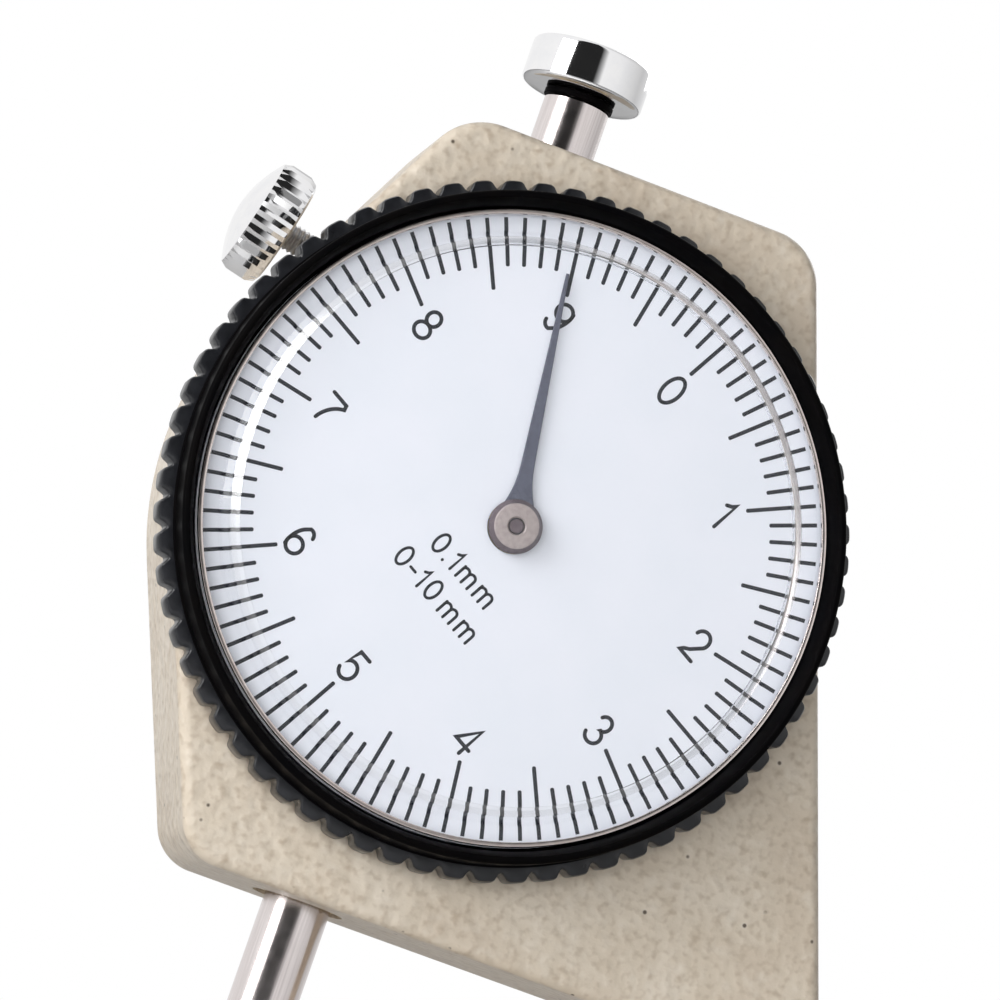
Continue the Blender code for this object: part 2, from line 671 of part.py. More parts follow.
def make_anvil(materials):
    seat = JAW_HEIGHT + SEAT_GAP
    lathe("anvil", [
        (0, JAW_HEIGHT - ANVIL_STEM_LENGTH), (ANVIL_STEM_RADIUS, JAW_HEIGHT - ANVIL_STEM_LENGTH),
        (ANVIL_STEM_RADIUS, seat), (ANVIL_RADIUS, seat), (ANVIL_RADIUS, ANVIL_FACE - ANVIL_CHAMFER),
        (ANVIL_RADIUS - ANVIL_CHAMFER, ANVIL_FACE), (0, ANVIL_FACE)],
        material=materials["ground_steel"])
    tip = ANVIL_STEM_RADIUS + PIN_GAP
    end = CASE_FRONT - SEAT_GAP
    socket = end - ANVIL_SCREW_SOCKET_DEPTH
    lathe("anvil_set_screw", [
        (0, tip), (ANVIL_SCREW_RADIUS, tip), (ANVIL_SCREW_RADIUS, end),
        (ANVIL_SCREW_SOCKET_RADIUS, end), (ANVIL_SCREW_SOCKET_RADIUS, socket), (0, socket)],
        SMALL, material=materials["spring_steel"], location=anvil_screw_place(), turn=TO_FRONT)


# Guide bushes

def make_bushes(materials):
    bore = ROD_RADIUS + RUN_GAP
    tube("lower_guide_bush", bore, BUSH_RADIUS, CASE_BOTTOM + BUSH_RECESS, POCKET_BOTTOM,
         material=materials["brass"])
    tube("upper_guide_bush", bore, BUSH_RADIUS, POCKET_TOP, CASE_TOP - BUSH_RECESS,
         material=materials["brass"])


# Spindle and what it carries

def rack_reach():
    """Lowest and highest point of the toothed length at rest."""
    margin = RACK_END_TEETH * RACK_PITCH
    return DIAL_Z - TRAVEL - margin, DIAL_Z + margin


def guide_pin_z():
    return DIAL_Z - GUIDE_PIN_DROP


def spring_pin_z():
    return DIAL_Z + SPRING_PIN_DROP


def make_spindle_rod(materials):
    bore = CONTACT_STUD_RADIUS + PIN_GAP
    deep = ROD_BOTTOM + CONTACT_STUD_LENGTH + SEAT_GAP
    stud_top = ROD_TOP + KNOB_STUD_LENGTH
    profile = [
        (0, deep), (bore, deep), (bore, ROD_BOTTOM), (ROD_RADIUS, ROD_BOTTOM),
        (ROD_RADIUS, ROD_TOP), (KNOB_STUD_RADIUS, ROD_TOP), (KNOB_STUD_RADIUS, stud_top),
        (0, stud_top)]
    spindle = lathe("spindle_rod", profile, material=materials["ground_steel"])
    low, high = rack_reach()
    low -= RACK_LUG + PIN_GAP
    high += RACK_LUG + PIN_GAP
    outline = [(ROD_FLAT, low), (ROD_RADIUS + OVERRUN, low),
               (ROD_RADIUS + OVERRUN, high), (ROD_FLAT, high)]
    flat = prism("rod_flat_tool", outline, -ROD_RADIUS, ROD_RADIUS, turn=TO_FRONT)
    cut(spindle, flat)
    for number, z in enumerate(rack_screw_levels(), 1):
        cut(spindle, rod(f"rack_thread_tool_{number}", RACK_SCREW_RADIUS + PIN_GAP, 0,
                         ROD_RADIUS + OVERRUN, SMALL, location=(0, 0, z), turn=TO_RIGHT))
    cut(spindle, rod("guide_pin_bore_tool", GUIDE_PIN_RADIUS + PIN_GAP, 0,
                     ROD_RADIUS + OVERRUN, SMALL, location=(0, 0, guide_pin_z()), turn=TO_BACK))
    cut(spindle, rod("spring_pin_bore_tool", SPRING_PIN_RADIUS + PIN_GAP, PIN_GAP,
                     ROD_RADIUS + OVERRUN, SMALL, location=(0, 0, spring_pin_z()), turn=TO_LEFT))


def rack_outline():
    """Toothed strip seen from the front: teeth point right, a plain lug at each end."""
    low, high = rack_reach()
    back = ROD_FLAT + PIN_GAP
    tip = PITCH_LINE + TOOTH_ADDENDUM_SHARE * RACK_PITCH
    half = RACK_PITCH / 4 - TOOTH_PLAY / 2
    at_tip = half - (tip - PITCH_LINE) * math.tan(FLANK_ANGLE)
    at_root = half + (PITCH_LINE - RACK_ROOT) * math.tan(FLANK_ANGLE)
    outline = [(back, high + RACK_LUG), (back, low - RACK_LUG), (RACK_ROOT, low - RACK_LUG)]
    first = math.ceil((low - DIAL_Z) / RACK_PITCH)
    last = math.floor((high - DIAL_Z) / RACK_PITCH)
    for number in range(first, last):
        z = DIAL_Z + (number + 0.5) * RACK_PITCH
        outline += [(RACK_ROOT, z - at_root), (tip, z - at_tip), (tip, z + at_tip),
                    (RACK_ROOT, z + at_root)]
    outline.append((RACK_ROOT, high + RACK_LUG))
    return outline


def rack_screw_levels():
    low, high = rack_reach()
    return low - RACK_LUG / 2, high + RACK_LUG / 2


def make_rack(materials):
    rack = prism("rack_bar", rack_outline(), -RACK_WIDTH / 2, RACK_WIDTH / 2,
                 material=materials["ground_steel"], turn=TO_FRONT)
    face = RACK_ROOT + PIN_GAP
    shank = (RACK_SCREW_RADIUS, RACK_SCREW_LENGTH)
    head = (RACK_SCREW_HEAD_RADIUS, RACK_SCREW_HEAD_HEIGHT)
    for number, z in enumerate(rack_screw_levels(), 1):
        cut(rack, rod(f"rack_hole_tool_{number}", RACK_SCREW_RADIUS + PIN_GAP,
                      0, ROD_RADIUS + OVERRUN, SMALL, location=(0, 0, z), turn=TO_RIGHT))
        slotted_screw(f"rack_screw_{number}", materials["spring_steel"], shank, head,
                      (face, 0, z), TO_RIGHT)


def make_contact(materials):
    stud_top = ROD_BOTTOM - PIN_GAP + CONTACT_STUD_LENGTH
    disc_top = CONTACT_FACE + CONTACT_DISC_HEIGHT
    neck_top = disc_top + CONTACT_NECK_HEIGHT
    lathe("contact_point", [
        (0, CONTACT_FACE), (CONTACT_RADIUS - CONTACT_CHAMFER, CONTACT_FACE),
        (CONTACT_RADIUS, CONTACT_FACE + CONTACT_CHAMFER),
        (CONTACT_RADIUS, disc_top - CONTACT_CHAMFER),
        (CONTACT_RADIUS - CONTACT_CHAMFER, disc_top), (ROD_RADIUS, disc_top),
        (ROD_RADIUS, neck_top), (CONTACT_STUD_RADIUS, neck_top),
        (CONTACT_STUD_RADIUS, stud_top), (0, stud_top)],
        material=materials["ground_steel"])


def make_knob(materials):
    bore = KNOB_STUD_RADIUS + PIN_GAP
    top = KNOB_BOTTOM + KNOB_HEIGHT
    deep = ROD_TOP + KNOB_STUD_LENGTH + SEAT_GAP
    edge = KNOB_EDGE_ROUND
    tube("knob_neck_ring", bore, ROD_RADIUS + NECK_RING_STEP, NECK_RING_BOTTOM,
         NECK_RING_BOTTOM + NECK_RING_HEIGHT, material=materials["black_gloss"])
    profile = [(0, deep), (bore, deep), (bore, KNOB_BOTTOM)]
    profile += quarter_round(KNOB_RADIUS, KNOB_BOTTOM, edge, -1)
    profile += quarter_round(KNOB_RADIUS, top, edge, 1)
    profile.append((0, top))
    lathe("lift_knob", profile, material=materials["bright_chrome"])


def quarter_round(radius, height, edge, side):
    """Rounded rim of a turned piece: side -1 goes from the bottom up, 1 goes to the top."""
    steps = range(EDGE_STEPS + 1)
    arc = []
    for step in steps if side > 0 else reversed(steps):
        turn = math.pi / 2 * step / EDGE_STEPS
        arc.append((radius - edge + edge * math.cos(turn),
                    height + side * edge * (math.sin(turn) - 1)))
    return arc


def make_spindle_pins(materials):
    guide_end = PLATE_BACK + PIN_GAP
    rod("guide_pin", GUIDE_PIN_RADIUS, PIN_GAP, guide_end, SMALL,
        material=materials["spring_steel"], location=(0, 0, guide_pin_z()), turn=TO_BACK)
    hook_end = SPRING_OFFSET + SPRING_RADIUS + SPRING_PIN_RADIUS
    rod("spring_pin", SPRING_PIN_RADIUS, 2 * PIN_GAP, hook_end, SMALL,
        material=materials["spring_steel"], location=(0, 0, spring_pin_z()), turn=TO_LEFT)


# Movement plates, pillars and bearings

def pillar_places():
    x = DIAL_OFFSET + BRIDGE_PILLAR_OFFSET
    low = guide_pin_z() - GUIDE_PLATE_END
    high = guide_pin_z() + TRAVEL + GUIDE_PLATE_END
    return {
        "bridge_pillar_1": (x, DIAL_Z - BRIDGE_PILLAR_SPREAD),
        "bridge_pillar_2": (x, DIAL_Z + BRIDGE_PILLAR_SPREAD),
        "guide_pillar_1": (-GUIDE_PILLAR_OFFSET, low),
        "guide_pillar_2": (-GUIDE_PILLAR_OFFSET, high)}


def make_pillars(materials):
    high = POCKET_FLOOR - SEAT_GAP
    low = -PLATE_FRONT + SEAT_GAP
    bore = PLATE_SCREW_RADIUS + PIN_GAP
    deep = low + PLATE_SCREW_LENGTH - PLATE_THICKNESS + SEAT_GAP
    head = (PLATE_SCREW_HEAD_RADIUS, PLATE_SCREW_HEAD_HEIGHT)
    for name, (x, z) in pillar_places().items():
        lathe(name, [
            (0, deep), (bore, deep), (bore, low), (PILLAR_RADIUS, low), (PILLAR_RADIUS, high),
            (PILLAR_STUD_RADIUS, high), (PILLAR_STUD_RADIUS, POCKET_FLOOR + PILLAR_STUD_LENGTH),
            (0, POCKET_FLOOR + PILLAR_STUD_LENGTH)], SMALL,
            material=materials["brass"], location=(x, 0, z), turn=TO_FRONT)
        slotted_screw(name.replace("pillar", "screw"), materials["spring_steel"],
                      (PLATE_SCREW_RADIUS, PLATE_SCREW_LENGTH), head,
                      (x, PLATE_BACK + PIN_GAP, z), TO_BACK)


def plate_hole(name, radius, x, z):
    return rod(name, radius, PLATE_FRONT - OVERRUN, PLATE_BACK + OVERRUN, SMALL,
               location=(x, 0, z), turn=TO_BACK)


def make_arbor_bridge(materials):
    places = pillar_places()
    (x, low), (_, high) = places["bridge_pillar_1"], places["bridge_pillar_2"]
    edge, nose = PLATE_EDGE, PIVOT_EDGE
    corner = edge * BRIDGE_CORNER_SHARE
    outline = rounded_outline([
        (DIAL_OFFSET - nose, DIAL_Z - nose, nose), (x - edge, low - edge, edge),
        (x + edge, low - edge, corner), (x + edge, high + edge, corner),
        (x - edge, high + edge, edge), (DIAL_OFFSET - nose, DIAL_Z + nose, nose)])
    bridge = prism("arbor_bridge", outline, -PLATE_BACK, -PLATE_FRONT,
                   material=materials["brass"], turn=TO_FRONT)
    cut(bridge, plate_hole("arbor_pivot_tool", PIVOT_RADIUS + RUN_GAP, DIAL_OFFSET, DIAL_Z))
    for name in ("bridge_pillar_1", "bridge_pillar_2"):
        cut(bridge, plate_hole(name + "_plate_tool", PLATE_SCREW_RADIUS + PIN_GAP, *places[name]))
    stud_x, stud_z = hairspring_stud_place()
    cut(bridge, plate_hole("stud_hole_tool", STUD_RADIUS + PIN_GAP, stud_x, stud_z))


def make_guide_plate(materials):
    places = pillar_places()
    (x, low), (_, high) = places["guide_pillar_1"], places["guide_pillar_2"]
    half_slot = GUIDE_PIN_RADIUS + RUN_GAP
    edge = PILLAR_RADIUS
    plate = prism("guide_plate",
                  rounded_box(x - edge, half_slot + GUIDE_PLATE_LAND, low - edge, high + edge, edge),
                  -PLATE_BACK, -PLATE_FRONT, material=materials["ground_steel"], turn=TO_FRONT)
    start = guide_pin_z() - half_slot
    finish = guide_pin_z() + TRAVEL + half_slot
    slot = prism("guide_slot_tool",
                 rounded_box(-half_slot, half_slot, start, finish, half_slot * SLOT_END_SHARE),
                 -PLATE_BACK - OVERRUN, -PLATE_FRONT + OVERRUN, turn=TO_FRONT)
    cut(plate, slot)
    for name in ("guide_pillar_1", "guide_pillar_2"):
        cut(plate, plate_hole(name + "_plate_tool", PLATE_SCREW_RADIUS + PIN_GAP, *places[name]))


def make_front_bush(materials):
    bore = ARBOR_RADIUS + RUN_GAP
    flange = CASE_FRONT + SEAT_GAP
    front = flange + FRONT_BUSH_FLANGE
    lathe("arbor_front_bush", [
        (bore, POCKET_FLOOR), (FRONT_BUSH_RADIUS, POCKET_FLOOR), (FRONT_BUSH_RADIUS, flange),
        (FRONT_BUSH_FLANGE_RADIUS, flange), (FRONT_BUSH_FLANGE_RADIUS, front), (bore, front)],
        ring=True, material=materials["brass"], location=DIAL_CENTRE, turn=TO_FRONT)


# Return spring

def spring_post_place():
    return -SPRING_OFFSET, POCKET_BOTTOM + SPRING_POST_RISE


def spring_span():
    """Lowest and highest centre of the wire, just clear of the post and of the pin."""
    clear = SPRING_PIN_RADIUS + SPRING_WIRE_RADIUS + SEAT_GAP
    return spring_post_place()[1] + clear, spring_pin_z() - clear


def make_return_spring(materials):
    low, high = spring_span()
    steps = SPRING_TURNS * SPRING_POINTS_PER_TURN
    coil = bpy.data.curves.new("return_spring", "CURVE")
    coil.dimensions = "3D"
    coil.bevel_depth = SPRING_WIRE_RADIUS
    coil.bevel_resolution = 1
    coil.use_fill_caps = True
    line = coil.splines.new("POLY")
    line.points.add(steps)
    for step, point in enumerate(line.points):
        turn = 2 * math.pi * step / SPRING_POINTS_PER_TURN
        point.co = (SPRING_RADIUS * math.cos(turn), SPRING_RADIUS * math.sin(turn),
                    low + (high - low) * step / steps, 1)
    item = bpy.data.objects.new("return_spring", coil)
    item.location = (-SPRING_OFFSET, 0, 0)
    bpy.context.scene.collection.objects.link(item)
    coil.materials.append(materials["spring_steel"])
    pitch = (high - low) / SPRING_TURNS
    print("return spring gap between turns, mm:", round((pitch - 2 * SPRING_WIRE_RADIUS) / MM, 3))


def make_spring_post(materials):
    x, z = spring_post_place()
    high = POCKET_FLOOR - SEAT_GAP
    low = -SPRING_RADIUS - SPRING_PIN_RADIUS
    stud = POCKET_FLOOR + PILLAR_STUD_LENGTH
    lathe("spring_post", [
        (0, low), (SPRING_PIN_RADIUS, low), (SPRING_PIN_RADIUS, high),
        (PILLAR_STUD_RADIUS, high), (PILLAR_STUD_RADIUS, stud), (0, stud)], SMALL,
        material=materials["brass"], location=(x, 0, z), turn=TO_FRONT)


# Pointer arbor and its hairspring

def pinion_outline():
    """Involute teeth. A tooth points at -X, into a gap of the rack, at rest."""
    root = PINION_RADIUS - TOOTH_DEDENDUM_SHARE * RACK_PITCH
    tip = PINION_RADIUS + TOOTH_ADDENDUM_SHARE * RACK_PITCH
    base = PINION_RADIUS * math.cos(FLANK_ANGLE)
    half = (RACK_PITCH / 4 - TOOTH_PLAY / 2) / PINION_RADIUS
    at_pitch = math.tan(FLANK_ANGLE) - FLANK_ANGLE
    flank = []
    for share in FLANK_SHARES:
        radius = root + (tip - root) * share
        lean = math.acos(min(1, base / radius))
        flank.append((radius, half + at_pitch - (math.tan(lean) - lean)))
    outline = []
    for tooth in range(PINION_TEETH):
        middle = math.pi + 2 * math.pi * tooth / PINION_TEETH
        outline += [polar(radius, middle - spread) for radius, spread in flank]
        outline += [polar(radius, middle + spread) for radius, spread in reversed(flank)]
    return outline


def make_arbor(materials):
    where = {"location": DIAL_CENTRE, "turn": TO_FRONT}
    bridge = -PLATE_FRONT + SEAT_GAP
    tip = HUB_FRONT - SEAT_GAP + PIN_GAP
    shoulder = POINTER_BACK - PIN_GAP
    arbor = lathe("pointer_arbor", [
        (0, -PLATE_BACK), (PIVOT_RADIUS, -PLATE_BACK), (PIVOT_RADIUS, bridge),
        (ARBOR_RADIUS, bridge), (ARBOR_RADIUS, shoulder), (ARBOR_TIP_RADIUS, shoulder),
        (ARBOR_TIP_RADIUS, tip), (0, tip)], SMALL, material=materials["ground_steel"], **where)
    pinion = prism("pinion_tool", pinion_outline(), -PINION_WIDTH / 2, PINION_WIDTH / 2, **where)
    join(arbor, pinion)
    high = -hairspring_middle() + COLLET_HEIGHT / 2
    tube("hairspring_collet", ARBOR_RADIUS + PIN_GAP, COLLET_RADIUS, high - COLLET_HEIGHT, high,
         SMALL, material=materials["brass"], **where)


def hairspring_middle():
    return PLATE_FRONT - HAIRSPRING_GAP - COLLET_HEIGHT / 2


def hairspring_stud_place():
    reach = HAIRSPRING_OUTER + HAIRSPRING_GAP + STUD_RADIUS
    return DIAL_OFFSET + reach, DIAL_Z


def make_hairspring(materials):
    """Flat spiral strip whose outer end lies against the stud."""
    steps = HAIRSPRING_TURNS * HAIRSPRING_POINTS_PER_TURN
    inside, outside = [], []
    for step in range(steps + 1):
        turn = 2 * math.pi * step / HAIRSPRING_POINTS_PER_TURN
        radius = HAIRSPRING_INNER + (HAIRSPRING_OUTER - HAIRSPRING_INNER) * step / steps
        inside.append(polar(radius - HAIRSPRING_STRIP / 2, turn))
        outside.append(polar(radius + HAIRSPRING_STRIP / 2, turn))
    shape = bmesh.new()
    half = COLLET_HEIGHT / 2
    rings = []
    for near, far in zip(inside, outside):
        corners = [(*near, -half), (*far, -half), (*far, half), (*near, half)]
        rings.append([shape.verts.new(corner) for corner in corners])
    shape.faces.new(rings[0])
    shape.faces.new(reversed(rings[-1]))
    for before, after in zip(rings, rings[1:]):
        for side in range(4):
            ahead = (side + 1) % 4
            shape.faces.new((before[side], after[side], after[ahead], before[ahead]))
    centre = DIAL_CENTRE + Vector((0, hairspring_middle(), 0))
    mesh_object("hairspring", shape, materials["spring_steel"], centre, TO_FRONT)
    x, z = hairspring_stud_place()
    rod("hairspring_stud", STUD_RADIUS, -PLATE_BACK, COLLET_HEIGHT / 2 - hairspring_middle(), SMALL,
        material=materials["brass"], location=(x, 0, z), turn=TO_FRONT)


# Pointer

def pointer_outline():
    """Slim pointer seen from the front, pointing at local +Y, round its eye."""
    start = math.asin(POINTER_ROOT_WIDTH / 2 / POINTER_EYE_RADIUS)
    sweep = 2 * math.pi - 2 * start
    steps = math.ceil(sweep / CORNER_STEP)
    right = [
        (POINTER_ROOT_WIDTH / 2 * POINTER_FLARE_SHARE, POINTER_LENGTH * POINTER_ROOT_SHARE),
        (POINTER_WAIST_WIDTH / 2, POINTER_LENGTH * POINTER_WAIST_SHARE),
        (POINTER_TIP_WIDTH / 2, POINTER_LENGTH)]
    eye = []
    for step in range(steps + 1):
        turn = math.pi / 2 + start + sweep * step / steps
        eye.append(polar(POINTER_EYE_RADIUS, turn))
    return eye + right + [(-x, y) for x, y in reversed(right)]


def make_pointer(materials):
    turn = TO_FRONT @ Matrix.Rotation(-POINTER_ANGLE, 3, "Z")
    needle = prism("pointer_needle", pointer_outline(), POINTER_BACK, POINTER_FRONT,
                   material=materials["pointer_grey"], location=DIAL_CENTRE, turn=turn)
    bore = ARBOR_TIP_RADIUS + PIN_GAP
    cut(needle, rod("pointer_eye_tool", bore, POINTER_BACK - OVERRUN, POINTER_FRONT + OVERRUN,
                    SMALL, location=DIAL_CENTRE, turn=TO_FRONT))
    lathe("pointer_hub", [
        (bore, HUB_BACK), (HUB_BASE_RADIUS, HUB_BACK),
        (HUB_BASE_RADIUS, HUB_BACK + HUB_HEIGHT * HUB_RIM_SHARE),
        (HUB_TOP_RADIUS, HUB_FRONT), (bore, HUB_FRONT)], ring=True,
        material=materials["hub_metal"], location=DIAL_CENTRE, turn=TO_FRONT)


# Bezel, dial and crystal

def bezel_flange_outline(reach):
    """Toothed outline of the flange, with its teeth cut off at a radius. One points down."""
    root = BEZEL_RADIUS - BEZEL_TOOTH_DEPTH
    step = 2 * math.pi / BEZEL_TEETH
    outline = []
    for tooth in range(BEZEL_TEETH):
        middle = step * tooth - math.pi / 2
        top = step * BEZEL_TOOTH_TOP_SHARE / 2
        foot = step * BEZEL_TOOTH_FOOT_SHARE / 2
        outline += [polar(root, middle - foot), polar(reach, middle - top),
                    polar(reach, middle + top), polar(root, middle + foot)]
    return outline


def make_bezel(materials):
    where = {"location": DIAL_CENTRE, "turn": TO_FRONT}
    teeth = bezel_flange_outline(BEZEL_RADIUS)
    bezel = loft("bezel", [
        (teeth, BEZEL_BACK), (teeth, FLANGE_FRONT - BEZEL_CHAMFER),
        (bezel_flange_outline(BEZEL_RADIUS - BEZEL_CHAMFER), FLANGE_FRONT)],
        material=materials["black_gloss"], **where)
    rim = lathe("bezel_rim_tool", [
        (BEZEL_BORE, BEZEL_BACK + WIRE_RADIUS), (RIM_RADIUS, BEZEL_BACK + WIRE_RADIUS),
        (RIM_RADIUS, RIM_FRONT - RIM_EDGE), (RIM_RADIUS - RIM_EDGE, RIM_FRONT),
        (RIM_INNER_RADIUS, RIM_FRONT), (DIAL_SEAT_RADIUS, CRYSTAL_RIM_FRONT),
        (DIAL_SEAT_RADIUS, DIAL_SEAT_BACK), (BEZEL_BORE, DIAL_SEAT_BACK)],
        FINE, ring=True, **where)
    hole = rod("bezel_bore_tool", BEZEL_BORE, BEZEL_BACK - OVERRUN, RIM_FRONT + OVERRUN, FINE, **where)
    groove = tube("bezel_groove_tool", BEZEL_BORE - OVERRUN, WIRE_CIRCLE + WIRE_RADIUS + SEAT_GAP,
                  WIRE_FRONT - WIRE_RADIUS - SEAT_GAP, WIRE_FRONT + WIRE_RADIUS + SEAT_GAP,
                  FINE, **where)
    cut(bezel, hole)
    join(bezel, rim)
    cut(bezel, groove)


def make_bezel_wire(materials):
    """Open ring of round wire that keeps the bezel on the boss."""
    shape = bmesh.new()
    bmesh.ops.create_circle(shape, cap_ends=True, radius=WIRE_RADIUS, segments=6)
    upright = Matrix.Rotation(math.radians(90), 3, "X")
    bmesh.ops.rotate(shape, cent=(0, 0, 0), matrix=upright, verts=shape.verts)
    bmesh.ops.translate(shape, vec=(WIRE_CIRCLE, 0, WIRE_FRONT), verts=shape.verts)
    section = list(shape.faces)
    bmesh.ops.spin(
        shape, geom=section, cent=(0, 0, 0), axis=(0, 0, 1),
        angle=2 * math.pi - WIRE_MOUTH, steps=FINE * 3 // 4, use_duplicate=False)
    mesh_object("bezel_spring_wire", shape, materials["spring_steel"], DIAL_CENTRE,
                TO_FRONT @ Matrix.Rotation(WIRE_MOUTH / 2 - math.radians(90), 3, "Z"))


def make_crystal(materials):
    rim = CRYSTAL_RADIUS - CRYSTAL_RIM_WIDTH
    top = rim - CRYSTAL_BEVEL_WIDTH
    under = CRYSTAL_FRONT - CRYSTAL_THICKNESS
    lathe("crystal", [
        (0, under), (top - CRYSTAL_BEVEL_WIDTH / 2, under), (rim, CRYSTAL_RIM_BACK),
        (CRYSTAL_RADIUS, CRYSTAL_RIM_BACK), (CRYSTAL_RADIUS, CRYSTAL_RIM_FRONT),
        (rim, CRYSTAL_RIM_FRONT),
        (top, CRYSTAL_FRONT), (0, CRYSTAL_FRONT)],
        FINE, material=materials["clear_plastic"], location=DIAL_CENTRE, turn=TO_FRONT)
    low = CRYSTAL_RIM_FRONT + PIN_GAP
    inner = CRYSTAL_RADIUS - BRIGHT_RING_WIDTH
    lathe("crystal_ring", [
        (inner, low), (CRYSTAL_RADIUS, low),
        (CRYSTAL_RADIUS, low + BRIGHT_RING_THICKNESS * BRIGHT_RING_RIM_SHARE),
        (inner, low + BRIGHT_RING_THICKNESS)], FINE, ring=True,
        material=materials["bright_chrome"], location=DIAL_CENTRE, turn=TO_FRONT)


def make_dial(materials):
    turn = TO_FRONT @ Matrix.Rotation(-DIAL_TURN, 3, "Z")
    tube("dial_face", DIAL_HOLE_RADIUS, CRYSTAL_RADIUS, DIAL_BACK, DIAL_FRONT, FINE,
         material=materials["dial_white"], location=DIAL_CENTRE, turn=turn)
    tube("dial_carrier", CARRIER_HOLE_RADIUS, CRYSTAL_RADIUS, CARRIER_BACK,
         CARRIER_BACK + CARRIER_THICKNESS, FINE, material=materials["aluminium"],
         location=DIAL_CENTRE, turn=turn)


# Spindle lock

def lock_wall():
    """Distance along the lock axis from the spindle axis to the casting's left face."""
    out = Vector((-math.cos(LOCK_SLOPE), math.sin(LOCK_SLOPE)))
    normal, offset = front_line(math.pi - CASE_UPPER_LEFT_SLANT, CASE_CIRCLE_RADIUS)
    return (offset - normal.dot(Vector((0, LOCK_Z)))) / normal.dot(out)


def make_lock(materials):
    where = {"location": (0, 0, LOCK_Z), "turn": LOCK_OUT}
    shoe = (ROD_RADIUS + SEAT_GAP + LOCK_SHOE_RADIUS * math.sin(LOCK_SLOPE)) / math.cos(LOCK_SLOPE)
    nose = shoe + LOCK_SHOE_LENGTH
    rod("lock_shoe", LOCK_SHOE_RADIUS, shoe, nose, SMALL, material=materials["brass"], **where)
    knurl = lock_wall() + LOCK_NECK_LENGTH
    finish = knurl + LOCK_KNURL_LENGTH
    points = 2 * LOCK_KNURL_TEETH
    flat = LOCK_KNOB_RADIUS - LOCK_EDGE
    thread = star(LOCK_THREAD_RADIUS, LOCK_THREAD_RADIUS, points)
    face = star(flat, flat, points)
    ridges = star(LOCK_KNOB_RADIUS, LOCK_KNOB_RADIUS - LOCK_KNURL_DEPTH, points)
    sections = [
        (thread, nose + PIN_GAP), (thread, knurl), (face, knurl), (ridges, knurl + LOCK_EDGE),
        (ridges, finish - LOCK_EDGE), (face, finish)]
    for share in DOME_SHARES:
        height = finish + LOCK_DOME_HEIGHT * (1 - share * share)
        sections.append((star(flat * share, flat * share, points), height))
    loft("lock_screw", sections, material=materials["bright_chrome"], **where)


# Joint axes

def group_pieces():
    """Hang each moving group on an empty that lies on its joint's axis."""
    groups = {
        "spindle_axis": ((0, 0, ROD_BOTTOM), UP, [
            "spindle_rod", "rack_bar", "rack_screw_1", "rack_screw_2", "lift_knob",
            "knob_neck_ring", "contact_point", "guide_pin", "spring_pin"]),
        "pointer_axis": (DIAL_CENTRE, TO_FRONT, [
            "pointer_arbor", "hairspring_collet", "pointer_needle", "pointer_hub"]),
        "bezel_axis": (DIAL_CENTRE, TO_FRONT, [
            "bezel", "crystal", "crystal_ring", "dial_face", "dial_carrier"]),
        "lock_axis": ((0, 0, LOCK_Z), LOCK_OUT, ["lock_shoe", "lock_screw"]),
    }
    for name, (location, turn, pieces) in groups.items():
        axis = bpy.data.objects.new(name, None)
        bpy.context.scene.collection.objects.link(axis)
        place(axis, location, turn)
        bpy.context.view_layer.update()
        for piece in pieces:
            item = bpy.data.objects[piece]
            world = item.matrix_world.copy()
            item.parent = axis
            item.matrix_parent_inverse = axis.matrix_world.inverted()
            item.matrix_world = world


def build():
    clear_scene()
    materials = make_materials()
    make_casting(materials)
    make_back_cover(materials)
    make_anvil(materials)
    make_bushes(materials)
    make_spindle_rod(materials)
    make_rack(materials)
    make_contact(materials)
    make_knob(materials)
    make_spindle_pins(materials)
    make_pillars(materials)
    make_arbor_bridge(materials)
    make_guide_plate(materials)
    make_front_bush(materials)
    make_return_spring(materials)
    make_spring_post(materials)
    make_arbor(materials)
    make_hairspring(materials)
    make_pointer(materials)
    make_bezel(materials)
    make_bezel_wire(materials)
    make_crystal(materials)
    make_dial(materials)
    make_lock(materials)
    weight_normals()
    group_pieces()


build()
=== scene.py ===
"""Looks of the dial thickness gauge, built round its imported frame. Metres, +Z up."""
import json
import math

import bmesh
import bpy
from mathutils import Matrix, Vector


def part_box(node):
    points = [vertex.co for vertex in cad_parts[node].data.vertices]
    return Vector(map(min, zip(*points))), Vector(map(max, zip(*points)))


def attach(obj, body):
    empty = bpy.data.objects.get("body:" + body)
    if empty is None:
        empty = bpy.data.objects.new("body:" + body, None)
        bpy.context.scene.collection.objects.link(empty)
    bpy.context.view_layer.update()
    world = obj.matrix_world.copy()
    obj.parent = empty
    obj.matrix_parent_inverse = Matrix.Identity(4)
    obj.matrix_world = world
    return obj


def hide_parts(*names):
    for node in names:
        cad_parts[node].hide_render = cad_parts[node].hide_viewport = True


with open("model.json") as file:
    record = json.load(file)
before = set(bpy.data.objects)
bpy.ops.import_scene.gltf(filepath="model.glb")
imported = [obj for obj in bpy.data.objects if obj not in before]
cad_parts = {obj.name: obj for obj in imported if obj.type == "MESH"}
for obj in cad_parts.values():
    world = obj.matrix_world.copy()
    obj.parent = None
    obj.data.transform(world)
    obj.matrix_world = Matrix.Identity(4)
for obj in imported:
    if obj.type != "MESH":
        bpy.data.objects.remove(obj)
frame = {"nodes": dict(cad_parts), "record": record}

MM = 0.001

